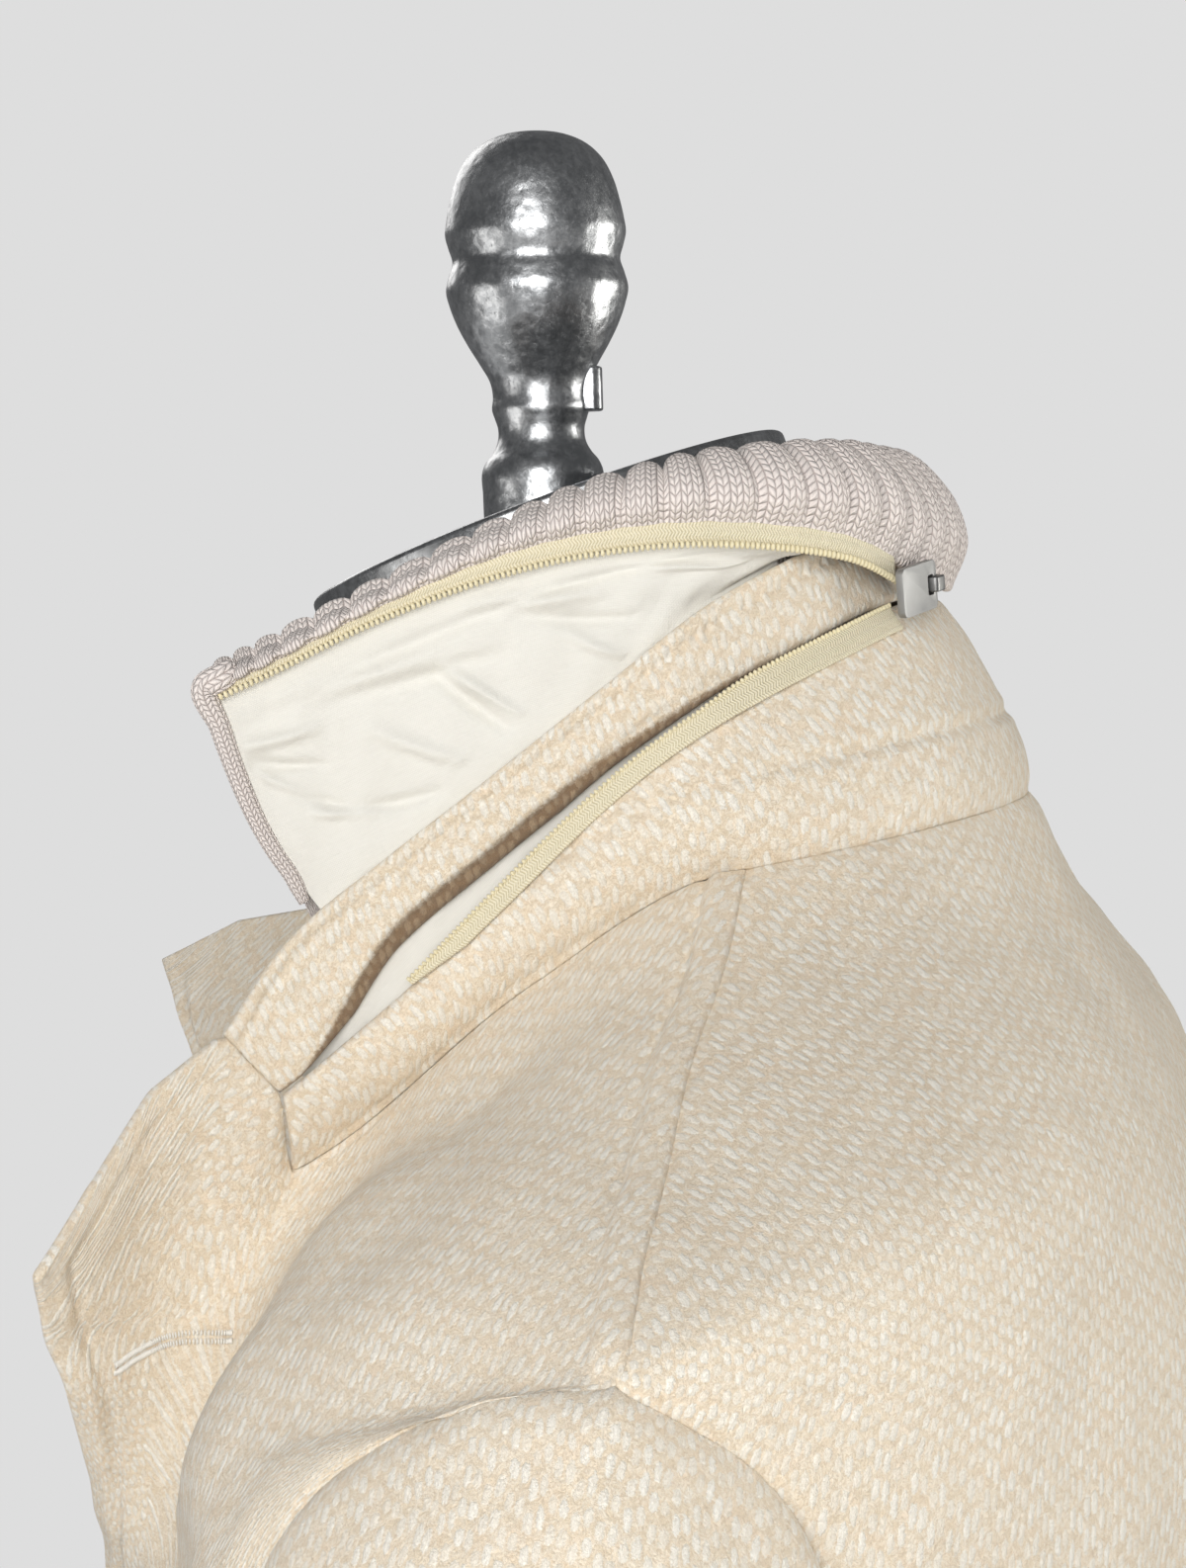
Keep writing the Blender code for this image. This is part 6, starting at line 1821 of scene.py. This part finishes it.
LIGHTS = (
    # name,       place,                aim,               size,        watts, colour
    ("key_soft",  (1.05, 0.05, 1.33),  (0.05, 0.0, 1.08), (0.60, 0.7), 9.6, (1.0, 0.995, 0.985)),
    ("back_soft", (-0.55, 1.55, 1.05), (0.05, 0.0, 1.12), (0.75, 1.0),  15, (1.0, 0.985, 0.94)),
    ("low_soft",  (0.87, -1.42, 0.70), (0.05, 0.0, 1.12), (0.75, 1.0), 4.8, (1.0, 0.98, 0.95)),
    ("far_soft",  (-1.1, -0.95, 1.97), (0.05, 0.0, 1.12), (0.90, 0.9),   5, (1.0, 0.98, 0.96)),
)
ROOM_LIGHT, ROOM_STRENGTH = (0.97, 0.98, 1.0), 0.15
FLOOR_RADIUS, FLOOR_FADE = 2.4, (0.7, 2.2)       # the floor fades into the room over these
EYE, EYE_YAW, EYE_PITCH, EYE_ROLL = (0.7834, 0.1099, 1.1908), 10.51, 3.32, -1.70
EYE_LENS, EYE_SENSOR = 73.51, 36.0


def make_stage():
    """Pale floor that fades into the room, the room's own light and four soft lamps."""
    pale = tone(222, 222, 222)
    bm = bmesh.new()
    bmesh.ops.create_circle(bm, cap_ends=True, segments=128, radius=FLOOR_RADIUS)
    bmesh.ops.translate(bm, vec=(0, 0, -0.0005), verts=bm.verts[:])
    mesh = bpy.data.meshes.new("floor")
    bm.to_mesh(mesh)
    bm.free()
    floor = put("floor", mesh)
    paint = Paint("floor_paper", Roughness=0.95)
    x, y, _ = paint.split(paint.in_space())
    far = ((x ** 2 + y ** 2) ** 0.5).soft(*FLOOR_FADE)
    paint.feed(paint.shader.inputs["Base Color"], (*tone(226, 226, 226), 1.0))
    glow = paint.tree.nodes.new("ShaderNodeEmission")
    glow.inputs["Color"].default_value = (*pale, 1.0)
    mix = paint.tree.nodes.new("ShaderNodeMixShader")
    paint.feed(mix.inputs[0], far)
    paint.tree.links.new(paint.shader.outputs[0], mix.inputs[1])
    paint.tree.links.new(glow.outputs[0], mix.inputs[2])
    paint.tree.links.new(mix.outputs[0], paint.tree.nodes["Material Output"].inputs["Surface"])
    mesh.materials.append(paint.made)

    room = bpy.data.worlds.new("room")
    room.use_nodes = True
    tree = room.node_tree
    tree.nodes["Background"].inputs["Color"].default_value = (*pale, 1.0)
    soft = tree.nodes.new("ShaderNodeBackground")
    soft.inputs["Color"].default_value = (*ROOM_LIGHT, 1.0)
    soft.inputs["Strength"].default_value = ROOM_STRENGTH
    seen = tree.nodes.new("ShaderNodeLightPath")
    pick = tree.nodes.new("ShaderNodeMixShader")
    tree.links.new(seen.outputs["Is Camera Ray"], pick.inputs[0])
    tree.links.new(soft.outputs[0], pick.inputs[1])
    tree.links.new(tree.nodes["Background"].outputs[0], pick.inputs[2])
    tree.links.new(pick.outputs[0], tree.nodes["World Output"].inputs["Surface"])
    bpy.context.scene.world = room
    bpy.context.scene.view_settings.view_transform = "Standard"

    for name, spot, aim, size, power, colour in LIGHTS:
        lamp = bpy.data.lights.new(name, "AREA")
        lamp.shape = "RECTANGLE"
        lamp.size, lamp.size_y = size
        lamp.energy, lamp.color = power, colour
        holder = put(name, lamp)
        holder.location = spot
        holder.rotation_mode = "QUATERNION"
        holder.rotation_quaternion = (Vector(aim) - Vector(spot)).to_track_quat("-Z", "Y")
        holder.visible_camera = False


def place_camera():
    """The photograph's camera, looking back along its yaw and pitch."""
    yaw, pitch, roll = (math.radians(a) for a in (EYE_YAW, EYE_PITCH, EYE_ROLL))
    back = Vector((math.cos(pitch) * math.cos(yaw), math.cos(pitch) * math.sin(yaw), math.sin(pitch)))
    right = Vector((-math.sin(yaw), math.cos(yaw), 0))
    above = back.cross(right)
    across = math.cos(roll) * right + math.sin(roll) * above
    up = -math.sin(roll) * right + math.cos(roll) * above
    lens = bpy.data.cameras.new("view")
    lens.sensor_width, lens.lens = EYE_SENSOR, EYE_LENS
    lens.clip_start, lens.clip_end = 0.05, 30
    camera = put("view", lens)
    turn = Matrix((across, up, back)).transposed().to_4x4()
    camera.matrix_world = Matrix.Translation(Vector(EYE)) @ turn
    bpy.context.scene.camera = camera


for make in (make_body, make_leaf, make_slit_facing, make_knit, make_lining, make_binding, make_tapes,
             make_slider, make_buttons, make_pockets, make_sewing, make_form, make_stand, make_stage,
             place_camera):
    make()
